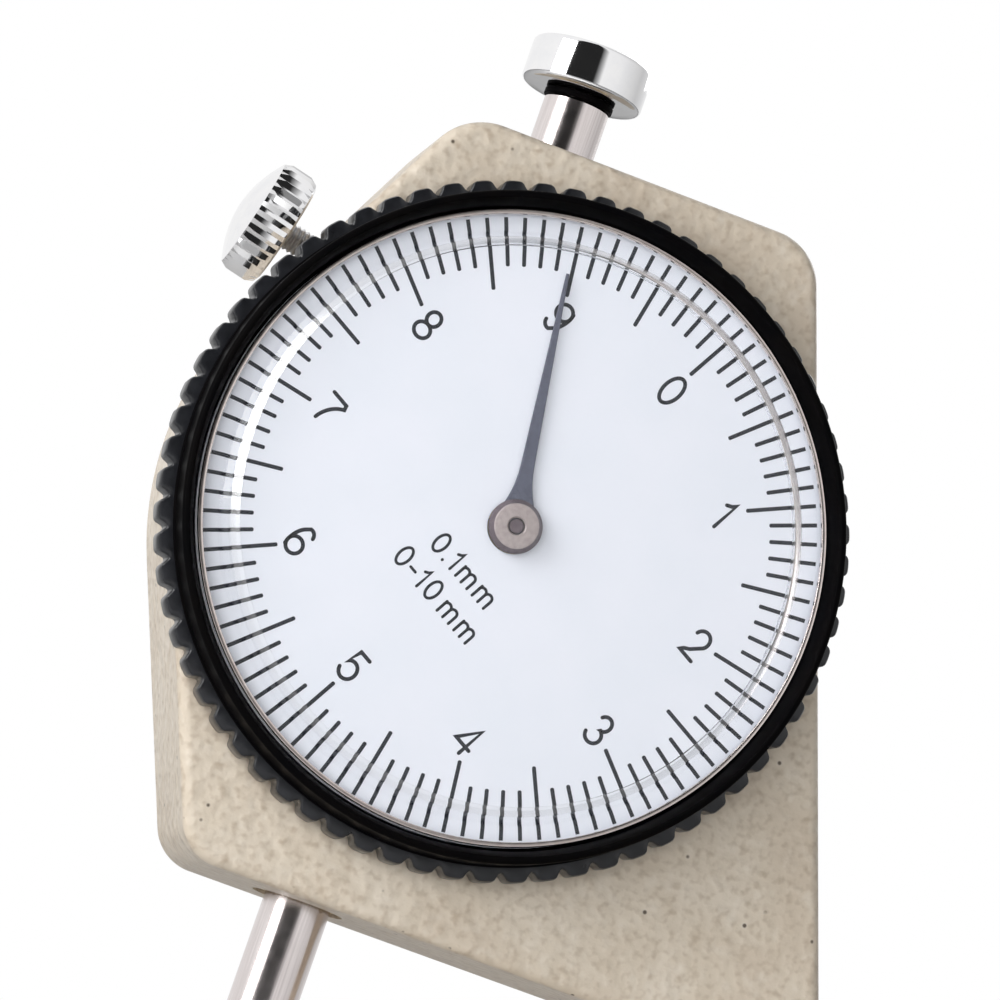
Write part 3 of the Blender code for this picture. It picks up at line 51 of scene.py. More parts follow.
# Places taken from the frame. "Front" sizes are distances towards the reader, so minus Y.
DIAL_LOW, DIAL_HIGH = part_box("dial_face")
DIAL_CENTRE = Vector(((DIAL_LOW.x + DIAL_HIGH.x) / 2, 0, (DIAL_LOW.z + DIAL_HIGH.z) / 2))
DIAL_FRONT = -DIAL_LOW.y
BEZEL_LOW, BEZEL_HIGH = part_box("bezel")
BEZEL_BACK = -BEZEL_HIGH.y
BEZEL_FRONT = -BEZEL_LOW.y
BEZEL_RADIUS = (BEZEL_HIGH.x - BEZEL_LOW.x) / 2
CRYSTAL_LOW, CRYSTAL_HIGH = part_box("crystal")
CRYSTAL_RADIUS = (CRYSTAL_HIGH.x - CRYSTAL_LOW.x) / 2
CRYSTAL_BACK = -CRYSTAL_HIGH.y
CRYSTAL_FRONT = -CRYSTAL_LOW.y
RING_LOW, RING_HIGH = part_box("crystal_ring")
KNOB_LOW, KNOB_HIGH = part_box("lift_knob")
KNOB_RADIUS = (KNOB_HIGH.x - KNOB_LOW.x) / 2
NEEDLE_LOW, NEEDLE_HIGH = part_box("pointer_needle")
HUB_LOW, HUB_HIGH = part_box("pointer_hub")
CASE_LOW, CASE_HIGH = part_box("frame_casting")
CASE_BACK = CASE_HIGH.y
COVER_LOW, COVER_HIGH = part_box("back_cover")
ROD_LOW, ROD_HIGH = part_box("spindle_rod")
ROD_RADIUS = (ROD_HIGH.x - ROD_LOW.x) / 2
RACK_LOW, RACK_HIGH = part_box("rack_bar")
CONTACT_LOW, CONTACT_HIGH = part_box("contact_point")
ANVIL_LOW, ANVIL_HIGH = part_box("anvil")
BUSH_LOW, BUSH_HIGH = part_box("lower_guide_bush")
TOP_BUSH_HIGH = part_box("upper_guide_bush")[1]
SET_SCREW_LOW, SET_SCREW_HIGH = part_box("anvil_set_screw")

TO_FRONT = Matrix.Rotation(math.radians(90), 3, "X")
UP = Matrix.Identity(3)
CORE = 0.02 * MM
OVERRUN = 1.5 * MM
SEAT_GAP = 0.3 * MM
FIT_GAP = 0.04 * MM

# Cast frame, seen from the front
CASE_EDGE = 1.0 * MM
CASE_EDGE_STEPS = 5
CASE_CIRCLE_RADIUS = 27.3 * MM
CASE_RIGHT_SLANT = math.radians(19.3)
CASE_UPPER_LEFT_SLANT = math.radians(27.0)
CASE_LOWER_LEFT_SLANT = math.radians(22.0)
CASE_BOTTOM_DROP = 33.9 * MM
TOP_LEFT_ROUND = 5.4 * MM
TOP_RIGHT_ROUND = 4.8 * MM
LOWER_LEFT_ROUND = 4.0 * MM
JAW_HEIGHT = 12.0 * MM
JAW_NOSE_LOWER_ROUND = 4.5 * MM
JAW_NOSE_UPPER_ROUND = 2.0 * MM
BOW_WIDTH = 11.5 * MM
BOW_OUTER_ROUND = 22.0 * MM
THROAT_UPPER_ROUND = 8.0 * MM
THROAT_LOWER_ROUND = 12.0 * MM
ARC_STEP = math.radians(2.5)

# Holes and seats of the frame
POCKET_RIM = 3.5 * MM
POCKET_ROUND = 4.0 * MM
FRONT_WALL = 4.0 * MM
BUSH_RADIUS = (BUSH_HIGH.x - BUSH_LOW.x) / 2
ARBOR_BUSH_RADIUS = 2.5 * MM
BOSS_OUTER = 24.9 * MM
BOSS_INNER = 22.6 * MM
BOSS_FRONT = 12.1 * MM
WIRE_FRONT = 10.4 * MM
WIRE_GROOVE = 0.75 * MM
WIRE_DEPTH = 0.55 * MM
WIRE_SPACE = 0.6 * MM
ANVIL_BORE = 3.3 * MM
LOCK_BORE = 1.35 * MM
STUD_BORE = 1.0 * MM
STUD_DEPTH = 2.7 * MM
COVER_SCREW_BORE = 1.1 * MM
JAW_NOSE = -8.0 * MM

# Bezel
TEETH = 69
TOOTH_DEPTH = 0.75 * MM
TOOTH_POINTS = ((-0.5, 0.0), (-0.45, 0.04), (-0.41, 0.16), (-0.37, 0.40), (-0.33, 0.66),
                (-0.28, 0.86), (-0.2, 0.97), (-0.1, 0.995), (0.0, 1.0), (0.1, 0.995),
                (0.2, 0.97), (0.28, 0.86), (0.33, 0.66), (0.37, 0.40), (0.41, 0.16), (0.45, 0.04))
FLANGE_FRONT = 12.2 * MM
FLANGE_EDGE = 0.3 * MM
RIM_RADIUS = 27.6 * MM
RIM_EDGE = 0.45 * MM
RIM_MOUTH = 26.95 * MM
BEZEL_BORE = 25.2 * MM
DIAL_SEAT = 26.5 * MM
DIAL_SEAT_BACK = 12.3 * MM

# Crystal
CRYSTAL_RIM = 1.8 * MM
CRYSTAL_RIM_THICKNESS = 0.5 * MM
CRYSTAL_WALL = 0.7 * MM
CRYSTAL_BEVEL = 0.7 * MM
CRYSTAL_BEVEL_DEPTH = 0.45 * MM
CRYSTAL_THICKNESS = 1.2 * MM
CRYSTAL_EDGE = 0.06 * MM
RING_WIDTH = 0.45 * MM
RING_EDGE = 0.12 * MM

# Dial and printed marks
DIAL_HOLE = 2.2 * MM
DIAL_TURN = math.radians(29.7)
MARK_HEIGHT = 0.015 * MM
MARKS = 100
MARK_WIDTH = 0.33 * MM
MARK_OUTER = 25.6 * MM
SHORT_MARK_INNER = 21.5 * MM
LONG_MARK_INNER = 19.6 * MM
LONG_MARK_EVERY = 5
NUMERALS = 10
NUMERAL_SIDE_RADIUS = 18.05 * MM
NUMERAL_TOP_RADIUS = 17.6 * MM
NUMERAL_HEIGHT = 2.95 * MM
NUMERAL_STROKE = 0.32 * MM
UNIT_TEXT_HEIGHT = 1.95 * MM
UNIT_TEXT_STROKE = 0.24 * MM
UNIT_TEXT_SHIFT = 0.1 * MM
UNIT_TEXT_DROP = 5.42 * MM
RANGE_TEXT_DROP = 8.45 * MM
LETTER_SPACE = 0.1

# Pointer
POINTER_ANGLE = math.radians(-7.4)
POINTER_LENGTH = 21.4 * MM
POINTER_EYE = 1.9 * MM
POINTER_ROOT = 3.3 * MM
POINTER_WAIST = 1.36 * MM
POINTER_TIP = 0.26 * MM
POINTER_FLARE_SHARE = 0.2
POINTER_EDGE = 0.05 * MM
HUB_TOP_SHARE = 0.84
HUB_BORE = 0.7 * MM
HUB_EDGE = 0.12 * MM

# Lock screw
LOCK_SLOPE = math.radians(13.0)
LOCK_RISE = 14.1 * MM
LOCK_RADIUS = 5.15 * MM
LOCK_KNURLS = 36
LOCK_KNURL_DEPTH = 0.34 * MM
LOCK_KNURL_LENGTH = 3.5 * MM
LOCK_FACE_DROP = 1.13 * MM
LOCK_EDGE = 0.35 * MM
LOCK_THREAD_RADIUS = 1.25 * MM
LOCK_THREAD_DEPTH = 0.2 * MM
LOCK_THREAD_PITCH = 0.45 * MM
LOCK_THREAD_SEEN = 5.0 * MM
LOCK_THREAD_STEPS = 8

# Spindle
NECK_HEIGHT = 0.75 * MM
KNOB_EDGE = 0.5 * MM
KNOB_STUD_RADIUS = 1.6 * MM
CONTACT_STUD_BORE = 1.4 * MM
CONTACT_STUD_DEPTH = 4.3 * MM
CONTACT_DISC = 2.6 * MM
CONTACT_NECK = 3.2 * MM

# Edges of turned pieces and of carried nodes
TURNED_EDGE = 0.25 * MM
CARRIED_EDGE = 0.1 * MM
SHARP_EDGE = math.radians(32)

# Nodes whose finish isn't the one of their slot. The pointer's arbor takes the hub's darker copy,
# which is painted shade.
OTHER_FINISH = {"pointer_arbor": "hub_painted_shade"}

# Facets
FINE = 192
ROUND = 96
SHARP = math.radians(40)

# Camera and light
CAMERA_AZIMUTH = math.radians(-8.716)
CAMERA_ELEVATION = math.radians(-8.285)
CAMERA_ROLL = math.radians(19.25)
CAMERA_DISTANCE = 0.5
CAMERA_AIM = Vector((4.08, -5.52, 78.47)) * MM
CAMERA_LENS = 216
CAMERA_SENSOR = 36
GLOSS_BAND = ((-180, 0.95), (-56, 1.0), (-48, 0.02), (4, 0.02), (12, 0.45), (18, 0.95), (50, 0.9),
              (105, 0.6), (150, 0.85))
SIDE_LIGHT = ((-180, 0.34), (0, 0.34), (35, 0.14), (140, 0.08), (170, 0.34))
LIGHT_AIM = (0.0, 0.0, 0.06)
LOW_LIGHT_AIM = (0.0, 0.0, 0.03)
FLOOR_REACH = 2.0
FLOOR_DROP = 0.05 * MM
FLOOR_COLOUR = (0.88, 0.88, 0.88, 1)
FLOOR_ROUGHNESS = 0.8
FLOOR_GLOW = 0.5


# Mesh helpers

def polar(radius, turn):
    return radius * math.cos(turn), radius * math.sin(turn)


def finish_mesh(name, shape, materials, location=(0, 0, 0), turn=UP, sharp=SHARP):
    """Object at the origin, with its place in its mesh as the frame's nodes have."""
    bmesh.ops.recalc_face_normals(shape, faces=shape.faces)
    mesh = bpy.data.meshes.new(name)
    shape.to_mesh(mesh)
    shape.free()
    mesh.transform(Matrix.Translation(location) @ turn.to_4x4())
    mesh.shade_smooth()
    mesh.set_sharp_from_angle(angle=sharp)
    item = bpy.data.objects.new(name, mesh)
    bpy.context.scene.collection.objects.link(item)
    for material in materials:
        mesh.materials.append(material)
    return item


def add_piece(name, shape, materials, body, node, location=(0, 0, 0), turn=UP, sharp=SHARP):
    """Finished piece that rides on a body and may stand for a node of the frame."""
    piece = finish_mesh(name, shape, materials, location, turn, sharp)
    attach(piece, body)
    if node:
        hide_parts(node)
    return piece


def ring_stack(rings, count, closed=True):
    """Grid of rings about local Z. A ring is (radius function of the turn, height, finish)."""
    shape = bmesh.new()
    turns = [2 * math.pi * step / count for step in range(count)]
    rows = []
    for radius, height, _ in rings:
        row = []
        for turn in turns:
            reach = radius(turn, height) if callable(radius) else radius
            row.append(shape.verts.new((*polar(reach, turn), height)))
        rows.append(row)
    pairs = list(zip(rows, rows[1:]))
    if closed:
        pairs.append((rows[-1], rows[0]))
    for index, (low, high) in enumerate(pairs):
        for step in range(count):
            ahead = (step + 1) % count
            face = shape.faces.new((low[step], low[ahead], high[ahead], high[step]))
            face.material_index = rings[index][2]
    if not closed:
        shape.faces.new(reversed(rows[0]))
        shape.faces.new(rows[-1])
    return shape


def round_edge(radius, height, size, start, finish, steps=4):
    """Points of a rounded edge whose arc has its middle at (radius, height)."""
    points = []
    for step in range(steps + 1):
        turn = math.radians(start + (finish - start) * step / steps)
        points.append((radius + size * math.cos(turn), height + size * math.sin(turn)))
    return points


def plain(points, finish=0):
    return [(radius, height, finish) for radius, height in points]


def turned_ends(radius, low, high, edge):
    """Rounded lower and upper rims of a turned disc."""
    points = round_edge(radius - edge, low + edge, edge, -90, 0)
    return points + round_edge(radius - edge, high - edge, edge, 0, 90)


def arc(centre, reach, start, finish, steps=14):
    """Points on an ellipse. Reach is (across, up) and the turns are in degrees."""
    points = []
    for step in range(steps + 1):
        turn = math.radians(start + (finish - start) * step / steps)
        points.append((centre[0] + reach[0] * math.cos(turn),
                       centre[1] + reach[1] * math.sin(turn)))
    return points


def prism_shape(outline, low, high):
    shape = bmesh.new()
    face = shape.faces.new([shape.verts.new((x, y, low)) for x, y in outline])
    raised = bmesh.ops.extrude_face_region(shape, geom=[face])["geom"]
    lifted = [part for part in raised if isinstance(part, bmesh.types.BMVert)]
    bmesh.ops.translate(shape, vec=(0, 0, high - low), verts=lifted)
    return shape


# Materials

def feed(tree, socket, value):
    """Links a socket to another, or gives it a plain value."""
    if isinstance(value, bpy.types.NodeSocket):
        tree.links.new(value, socket)
    else:
        socket.default_value = value


def add_math(tree, operation, first, second):
    node = tree.nodes.new("ShaderNodeMath")
    node.operation = operation
    feed(tree, node.inputs[0], first)
    feed(tree, node.inputs[1], second)
    return node.outputs[0]


def fill_ramp(node, stops):
    """Stops are (position, grey or colour)."""
    elements = node.color_ramp.elements
    while len(elements) < len(stops):
        elements.new(1)
    for element, (position, shade) in zip(elements, stops):
        element.position = position
        element.color = (*shade, 1) if isinstance(shade, tuple) else (shade, shade, shade, 1)
    return node.outputs["Color"]


class Finish:
    """A Principled material and short forms for the nodes behind it."""

    def __init__(self, name, colour, roughness, metallic=0.0):
        self.material = bpy.data.materials.new(name)
        self.material.use_nodes = True
        self.material.diffuse_color = (*colour, 1)
        self.tree = self.material.node_tree
        self.shader = self.tree.nodes["Principled BSDF"]
        self.set("Base Color", (*colour, 1))
        self.set("Roughness", roughness)
        self.set("Metallic", metallic)
        self.place = self.add("ShaderNodeTexCoord").outputs["Object"]

    def set(self, socket, value):
        self.shader.inputs[socket].default_value = value

    def add(self, kind, **inputs):
        node = self.tree.nodes.new(kind)
        for name, value in inputs.items():
            feed(self.tree, node.inputs[name.replace("_", " ")], value)
        return node

    def link(self, output, socket):
        self.tree.links.new(output, self.shader.inputs[socket])

    def stretched(self, scale):
        return self.add("ShaderNodeMapping", Vector=self.place, Scale=scale).outputs["Vector"]

    def moved(self, shift):
        return self.add("ShaderNodeMapping", Vector=self.place, Location=shift).outputs["Vector"]

    def noise(self, size, detail=3.0, place=None, rough=0.5):
        """Cloudy pattern whose lumps are about as wide as size."""
        node = self.add("ShaderNodeTexNoise", Vector=place or self.place, Scale=1 / size,
                        Detail=detail, Roughness=rough)
        return node.outputs["Fac"]

    def cells(self, size, feature="F1", place=None, **inputs):
        node = self.add("ShaderNodeTexVoronoi", Vector=place or self.place, Scale=1 / size,
                        **inputs)
        node.feature = feature
        return node.outputs["Distance"]

    def ramp(self, value, *stops):
        return fill_ramp(self.add("ShaderNodeValToRGB", Fac=value), stops)

    def mix(self, share, first, second, blend="MIX"):
        node = self.tree.nodes.new("ShaderNodeMix")
        node.data_type = "RGBA"
        node.blend_type = blend
        for socket, value in zip((node.inputs[0], node.inputs[6], node.inputs[7]),
                                 (share, first, second)):
            feed(self.tree, socket, (*value, 1) if isinstance(value, tuple) else value)
        return node.outputs[2]

    def blend(self, share, first, second):
        """Mix of two shaders."""
        node = self.tree.nodes.new("ShaderNodeMixShader")
        for socket, value in zip(node.inputs, (share, first, second)):
            feed(self.tree, socket, value)
        return node.outputs[0]

    def spread(self, value, low, high):
        """Value from 0 to 1, spread between low and high."""
        node = self.add("ShaderNodeMapRange", Value=value, To_Min=low, To_Max=high)
        return node.outputs["Result"]

    def bump(self, height, depth, under=None):
        node = self.add("ShaderNodeBump", Height=height, Distance=depth)
        if under:
            self.tree.links.new(under, node.inputs["Normal"])
        return node.outputs["Normal"]


def enamel():
    look = Finish("beige_hammered_enamel", (0.60, 0.52, 0.42), 0.42)
    cloud = look.noise(6 * MM, 3)
    base = look.ramp(cloud, (0.3, (0.60, 0.51, 0.405)), (0.5, (0.645, 0.56, 0.45)),
                     (0.72, (0.68, 0.60, 0.495)))
    mottle = look.ramp(look.noise(0.7 * MM, 1.5, rough=0.4), (0.5, 0.0), (0.76, 0.66))
    base = look.mix(mottle, base, (0.42, 0.33, 0.24))
    pale = look.ramp(look.noise(1.1 * MM, 3, place=look.moved((3 * MM, 7 * MM, 5 * MM))),
                     (0.52, 0.0), (0.72, 0.45))
    base = look.mix(pale, base, (0.74, 0.67, 0.57))
    near = look.ramp(look.cells(1.9 * MM), (0.06, 1.0), (0.12, 0.0))
    sparse = look.ramp(look.noise(3.4 * MM, 1), (0.5, 0.0), (0.56, 1.0))
    speck = look.mix(1.0, near, sparse, "MULTIPLY")
    base = look.mix(speck, base, (0.10, 0.075, 0.055))
    look.link(base, "Base Color")
    rough = look.spread(look.noise(1.2 * MM, 2), 0.32, 0.5)
    look.link(rough, "Roughness")
    lumps = look.bump(look.noise(1.4 * MM, 1.2), 0.3 * MM)
    grain = look.bump(look.noise(0.5 * MM, 2), 0.035 * MM, lumps)
    look.link(grain, "Normal")
    look.set("Coat Weight", 0.2)
    look.set("Coat Roughness", 0.22)
    return look.material


def chrome():
    look = Finish("bright_chrome", (0.88, 0.88, 0.89), 0.06, 1.0)
    haze = look.noise(1.5 * MM, 3)
    look.link(look.spread(haze, 0.03, 0.09), "Roughness")
    look.link(look.ramp(haze, (0.3, (0.86, 0.86, 0.875)), (0.7, (0.91, 0.905, 0.905))),
              "Base Color")
    look.link(look.bump(look.noise(0.9 * MM, 2), 0.002 * MM), "Normal")
    return look.material


def ring_metal():
    """Plated ring of the crystal, slightly pink."""
    look = Finish("rose_plated_ring", (0.84, 0.74, 0.70), 0.2, 1.0)
    haze = look.noise(1.1 * MM, 3)
    look.link(look.spread(haze, 0.14, 0.26), "Roughness")
    look.link(look.ramp(haze, (0.3, (0.78, 0.68, 0.645)), (0.7, (0.88, 0.80, 0.765))),
              "Base Color")
    return look.material


def ground_steel():
    """Steel ground along its length: fine lines that run with Z."""
    look = Finish("ground_steel", (0.72, 0.66, 0.65), 0.2, 1.0)
    lines = look.noise(1 * MM, 3, look.stretched((6, 6, 0.15)))
    look.link(look.ramp(lines, (0.3, (0.66, 0.60, 0.59)), (0.7, (0.78, 0.725, 0.715))),
              "Base Color")
    look.link(look.spread(look.noise(0.8 * MM, 3), 0.14, 0.24), "Roughness")
    look.link(look.bump(lines, 0.004 * MM), "Normal")
    return look.material


def screw_steel():
    look = Finish("satin_screw_steel", (0.44, 0.44, 0.46), 0.34, 1.0)
    grain = look.noise(0.5 * MM, 4)
    look.link(look.ramp(grain, (0.3, (0.36, 0.365, 0.385)), (0.7, (0.52, 0.52, 0.53))),
              "Base Color")
    look.link(look.spread(grain, 0.24, 0.42), "Roughness")
    look.link(look.bump(grain, 0.005 * MM), "Normal")
    return look.material


def turned_metal(name, dark, light, low, high):
    """Metal with a fine random grain in its colour and roughness, and a finer bump."""
    look = Finish(name, light, high, 1.0)
    grain = look.noise(0.6 * MM, 4)
    look.link(look.ramp(grain, (0.3, dark), (0.7, light)), "Base Color")
    look.link(look.spread(grain, low, high), "Roughness")
    look.link(look.bump(look.noise(0.25 * MM, 2), 0.004 * MM), "Normal")
    return look.material


def bezel_gloss():
    look = Finish("black_gloss", (0.003, 0.003, 0.0035), 0.4)
    haze = look.noise(3 * MM, 4)
    look.link(look.ramp(haze, (0.3, (0.002, 0.002, 0.0025)), (0.7, (0.0035, 0.003, 0.003))),
              "Base Color")
    look.link(look.spread(haze, 0.36, 0.44), "Roughness")
    look.set("Specular IOR Level", 0.01)
    return look.material


def bezel_satin():
    look = Finish("black_satin", (0.0105, 0.011, 0.014), 0.3)
    haze = look.noise(1.2 * MM, 4)
    look.link(look.ramp(haze, (0.3, (0.007, 0.0075, 0.0095)), (0.7, (0.014, 0.015, 0.019))),
              "Base Color")
    look.link(look.spread(haze, 0.24, 0.36), "Roughness")
    look.link(look.bump(look.noise(0.3 * MM, 3), 0.008 * MM), "Normal")
    return look.material


def dial_white():
    look = Finish("dial_white", (0.87, 0.875, 0.905), 0.5)
    cloud = look.noise(6 * MM, 2)
    look.link(look.ramp(cloud, (0.3, (0.865, 0.87, 0.90)), (0.7, (0.895, 0.89, 0.92))),
              "Base Color")
    look.link(look.spread(cloud, 0.42, 0.55), "Roughness")
    look.link(look.bump(look.noise(0.2 * MM, 2), 0.002 * MM), "Normal")
    return look.material


def ink():
    look = Finish("dial_ink", (0.006, 0.007, 0.012), 0.5)
    patch = look.noise(0.4 * MM, 3)
    look.link(look.ramp(patch, (0.35, (0.004, 0.005, 0.009)), (0.75, (0.012, 0.014, 0.022))),
              "Base Color")
    look.link(look.spread(patch, 0.42, 0.6), "Roughness")
    look.set("Specular IOR Level", 0.12)
    return look.material


def pointer_paint():
    look = Finish("pointer_grey", (0.08, 0.085, 0.12), 0.42)
    lines = look.noise(0.3 * MM, 3)
    look.link(look.ramp(lines, (0.3, (0.07, 0.074, 0.105)), (0.7, (0.11, 0.115, 0.155))),
              "Base Color")
    look.link(look.spread(lines, 0.34, 0.5), "Roughness")
    look.set("Specular IOR Level", 0.35)
    return look.material


def hub_metal(name, dark, light):
    look = Finish(name, light, 0.4, 0.35)
    lines = look.noise(0.4 * MM, 3)
    look.link(look.ramp(lines, (0.3, dark), (0.7, light)), "Base Color")
    look.link(look.spread(lines, 0.34, 0.5), "Roughness")
    look.link(look.bump(lines, 0.003 * MM), "Normal")
    return look.material


def crystal(name, sheen=0.0):
    """Clear plastic with more or less sheen. Light that only passes through goes straight on."""
    look = Finish(name, (0.97, 0.985, 1.0), 0.02)
    look.set("Transmission Weight", 1.0)
    look.set("IOR", 1.49)
    look.link(look.spread(look.noise(4 * MM, 3), 0.0, 0.03), "Roughness")
    clear = look.add("ShaderNodeBsdfTransparent", Color=(0.97, 0.98, 1.0, 1))
    path = look.add("ShaderNodeLightPath")
    straight = add_math(look.tree, "MAXIMUM", path.outputs["Is Shadow Ray"],
                        path.outputs["Is Diffuse Ray"])
    look.set("Coat Weight", sheen)
    look.set("Coat IOR", 2.3)
    look.set("Coat Roughness", 0.24)
    surface = look.blend(straight, look.shader.outputs[0], clear.outputs[0])
    look.tree.links.new(surface, look.tree.nodes["Material Output"].inputs["Surface"])
    return look.material


def make_finishes():
    return {
        "enamel": enamel(),
        "chrome": chrome(),
        "ground_steel": ground_steel(),
        "screw_steel": screw_steel(),
        "brass": turned_metal("turned_brass", (0.58, 0.43, 0.18), (0.78, 0.62, 0.30), 0.22, 0.36),
        "aluminium": turned_metal(
            "turned_aluminium", (0.62, 0.63, 0.64), (0.76, 0.77, 0.78), 0.32, 0.46),
        "black_gloss": bezel_gloss(),
        "bezel_satin": bezel_satin(),
        "dial_white": dial_white(),
        "ink": ink(),
        "pointer_grey": pointer_paint(),
        "hub_metal": hub_metal("hub_metal", (0.38, 0.31, 0.29), (0.48, 0.405, 0.38)),
        # Darker copy of the hub's metal: painted shade for the hub's side faces and the arbor's tip
        "hub_painted_shade": hub_metal("hub_painted_shade", (0.10, 0.072, 0.082), (0.16, 0.12, 0.13)),
        "ring_metal": ring_metal(),
        "crystal": crystal("clear_plastic"),
        "crystal_wall": crystal("clear_plastic_wall", 0.15),
        "crystal_bevel": crystal("clear_plastic_bevel", 1.0),
    }


def smoothing():
    """Node group that shades a mesh smooth and leaves the mesh itself alone."""
    group = bpy.data.node_groups.new("smooth_faces", "GeometryNodeTree")
    for way in ("INPUT", "OUTPUT"):
        group.interface.new_socket("Geometry", in_out=way, socket_type="NodeSocketGeometry")
    start = group.nodes.new("NodeGroupInput")
    smooth = group.nodes.new("GeometryNodeSetShadeSmooth")
    finish = group.nodes.new("NodeGroupOutput")
    group.links.new(start.outputs[0], smooth.inputs["Geometry"])
    group.links.new(smooth.outputs[0], finish.inputs[0])
    return group


def dress_frame_nodes(finishes):
    """Every carried node takes the finish of its slot, clean flats and small rounded edges."""
    smooth = smoothing()
    slots = {part["node"]: part["material_slot"] for part in frame["record"]["subparts"]}
    for name, node in frame["nodes"].items():
        node.material_slots[0].material = finishes[OTHER_FINISH.get(name, slots[name])]
        node.modifiers.new("smooth", "NODES").node_group = smooth
        node.modifiers.new("weld", "WELD").merge_threshold = 0.001 * MM
        flats = node.modifiers.new("flats", "DECIMATE")
        flats.decimate_type = "DISSOLVE"
        flats.angle_limit = math.radians(1)
        edges = node.modifiers.new("edges", "BEVEL")
        edges.width = CARRIED_EDGE
        edges.segments = 2
        edges.limit_method = "ANGLE"
        edges.angle_limit = SHARP_EDGE
        node.modifiers.new("normals", "WEIGHTED_NORMAL").keep_sharp = True


# Cast frame

def front_line(angle, distance):
    """Line in the front view, at a distance from the dial's centre: its normal and its offset."""
    normal = Vector((math.cos(angle), math.sin(angle)))
    return normal, normal.dot(Vector((DIAL_CENTRE.x, DIAL_CENTRE.z))) + distance


def meet(first, second):
    (a, b), (c, d) = first[0], second[0]
    spread = a * d - b * c
    return (first[1] * d - b * second[1]) / spread, (a * second[1] - first[1] * c) / spread


def rounded_outline(corners):
    """Corners are (x, y, radius). Each becomes an arc of fine steps."""
    outline = []
    for index, (x, y, radius) in enumerate(corners):
        corner = Vector((x, y))
        back = (Vector(corners[index - 1][:2]) - corner).normalized()
        ahead = (Vector(corners[(index + 1) % len(corners)][:2]) - corner).normalized()
        half = back.angle(ahead) / 2
        centre = corner + (back + ahead).normalized() * radius / math.sin(half)
        start = corner + back * radius / math.tan(half) - centre
        finish = corner + ahead * radius / math.tan(half) - centre
        sweep = start.angle_signed(finish)
        steps = math.ceil(abs(sweep) / ARC_STEP)
        for step in range(steps + 1):
            spoke = start.copy()
            spoke.rotate(Matrix.Rotation(-sweep * step / steps, 2))
            outline.append(tuple(centre + spoke))
    return outline


def frame_outline():
    top = (Vector((0, 1)), CASE_HIGH.z)
    bottom = (Vector((0, 1)), DIAL_CENTRE.z - CASE_BOTTOM_DROP)
    foot = (Vector((0, 1)), CASE_LOW.z)
    jaw_top = (Vector((0, 1)), CASE_LOW.z + JAW_HEIGHT)
    nose = (Vector((1, 0)), JAW_NOSE)
    right = front_line(CASE_RIGHT_SLANT, CASE_CIRCLE_RADIUS)
    throat = front_line(CASE_RIGHT_SLANT, CASE_CIRCLE_RADIUS - BOW_WIDTH)
    upper_left = front_line(math.pi - CASE_UPPER_LEFT_SLANT, CASE_CIRCLE_RADIUS)
    lower_left = front_line(math.pi + CASE_LOWER_LEFT_SLANT, CASE_CIRCLE_RADIUS)
    return rounded_outline([
        (*meet(nose, foot), JAW_NOSE_LOWER_ROUND), (*meet(foot, right), BOW_OUTER_ROUND),
        (*meet(right, top), TOP_RIGHT_ROUND), (*meet(top, upper_left), TOP_LEFT_ROUND),
        (*meet(upper_left, lower_left), CASE_CIRCLE_RADIUS),
        (*meet(lower_left, bottom), LOWER_LEFT_ROUND), (*meet(bottom, throat), THROAT_UPPER_ROUND),
        (*meet(throat, jaw_top), THROAT_LOWER_ROUND), (*meet(jaw_top, nose), JAW_NOSE_UPPER_ROUND)])


def casting_shape():
    shape = prism_shape(frame_outline(), -CASE_BACK, CASE_BACK)
    rims = [edge for edge in shape.edges if edge.verts[0].co.z == edge.verts[1].co.z]
    bmesh.ops.bevel(shape, geom=rims, offset=CASE_EDGE, segments=CASE_EDGE_STEPS, profile=0.5,
                    affect="EDGES")
    return shape


def rod_shape(radius, low, high, count=ROUND):
    return ring_stack(plain([(radius, low), (radius, high)]), count, closed=False)


def tube_shape(inner, outer, low, high):
    return ring_stack(plain([(inner, low), (outer, low), (outer, high), (inner, high)]), FINE)


def box_outline(low, high, gap, radius):
    left, right, bottom, top = low.x - gap, high.x + gap, low.z - gap, high.z + gap
    return rounded_outline([(left, bottom, radius), (right, bottom, radius),
                            (right, top, radius), (left, top, radius)])


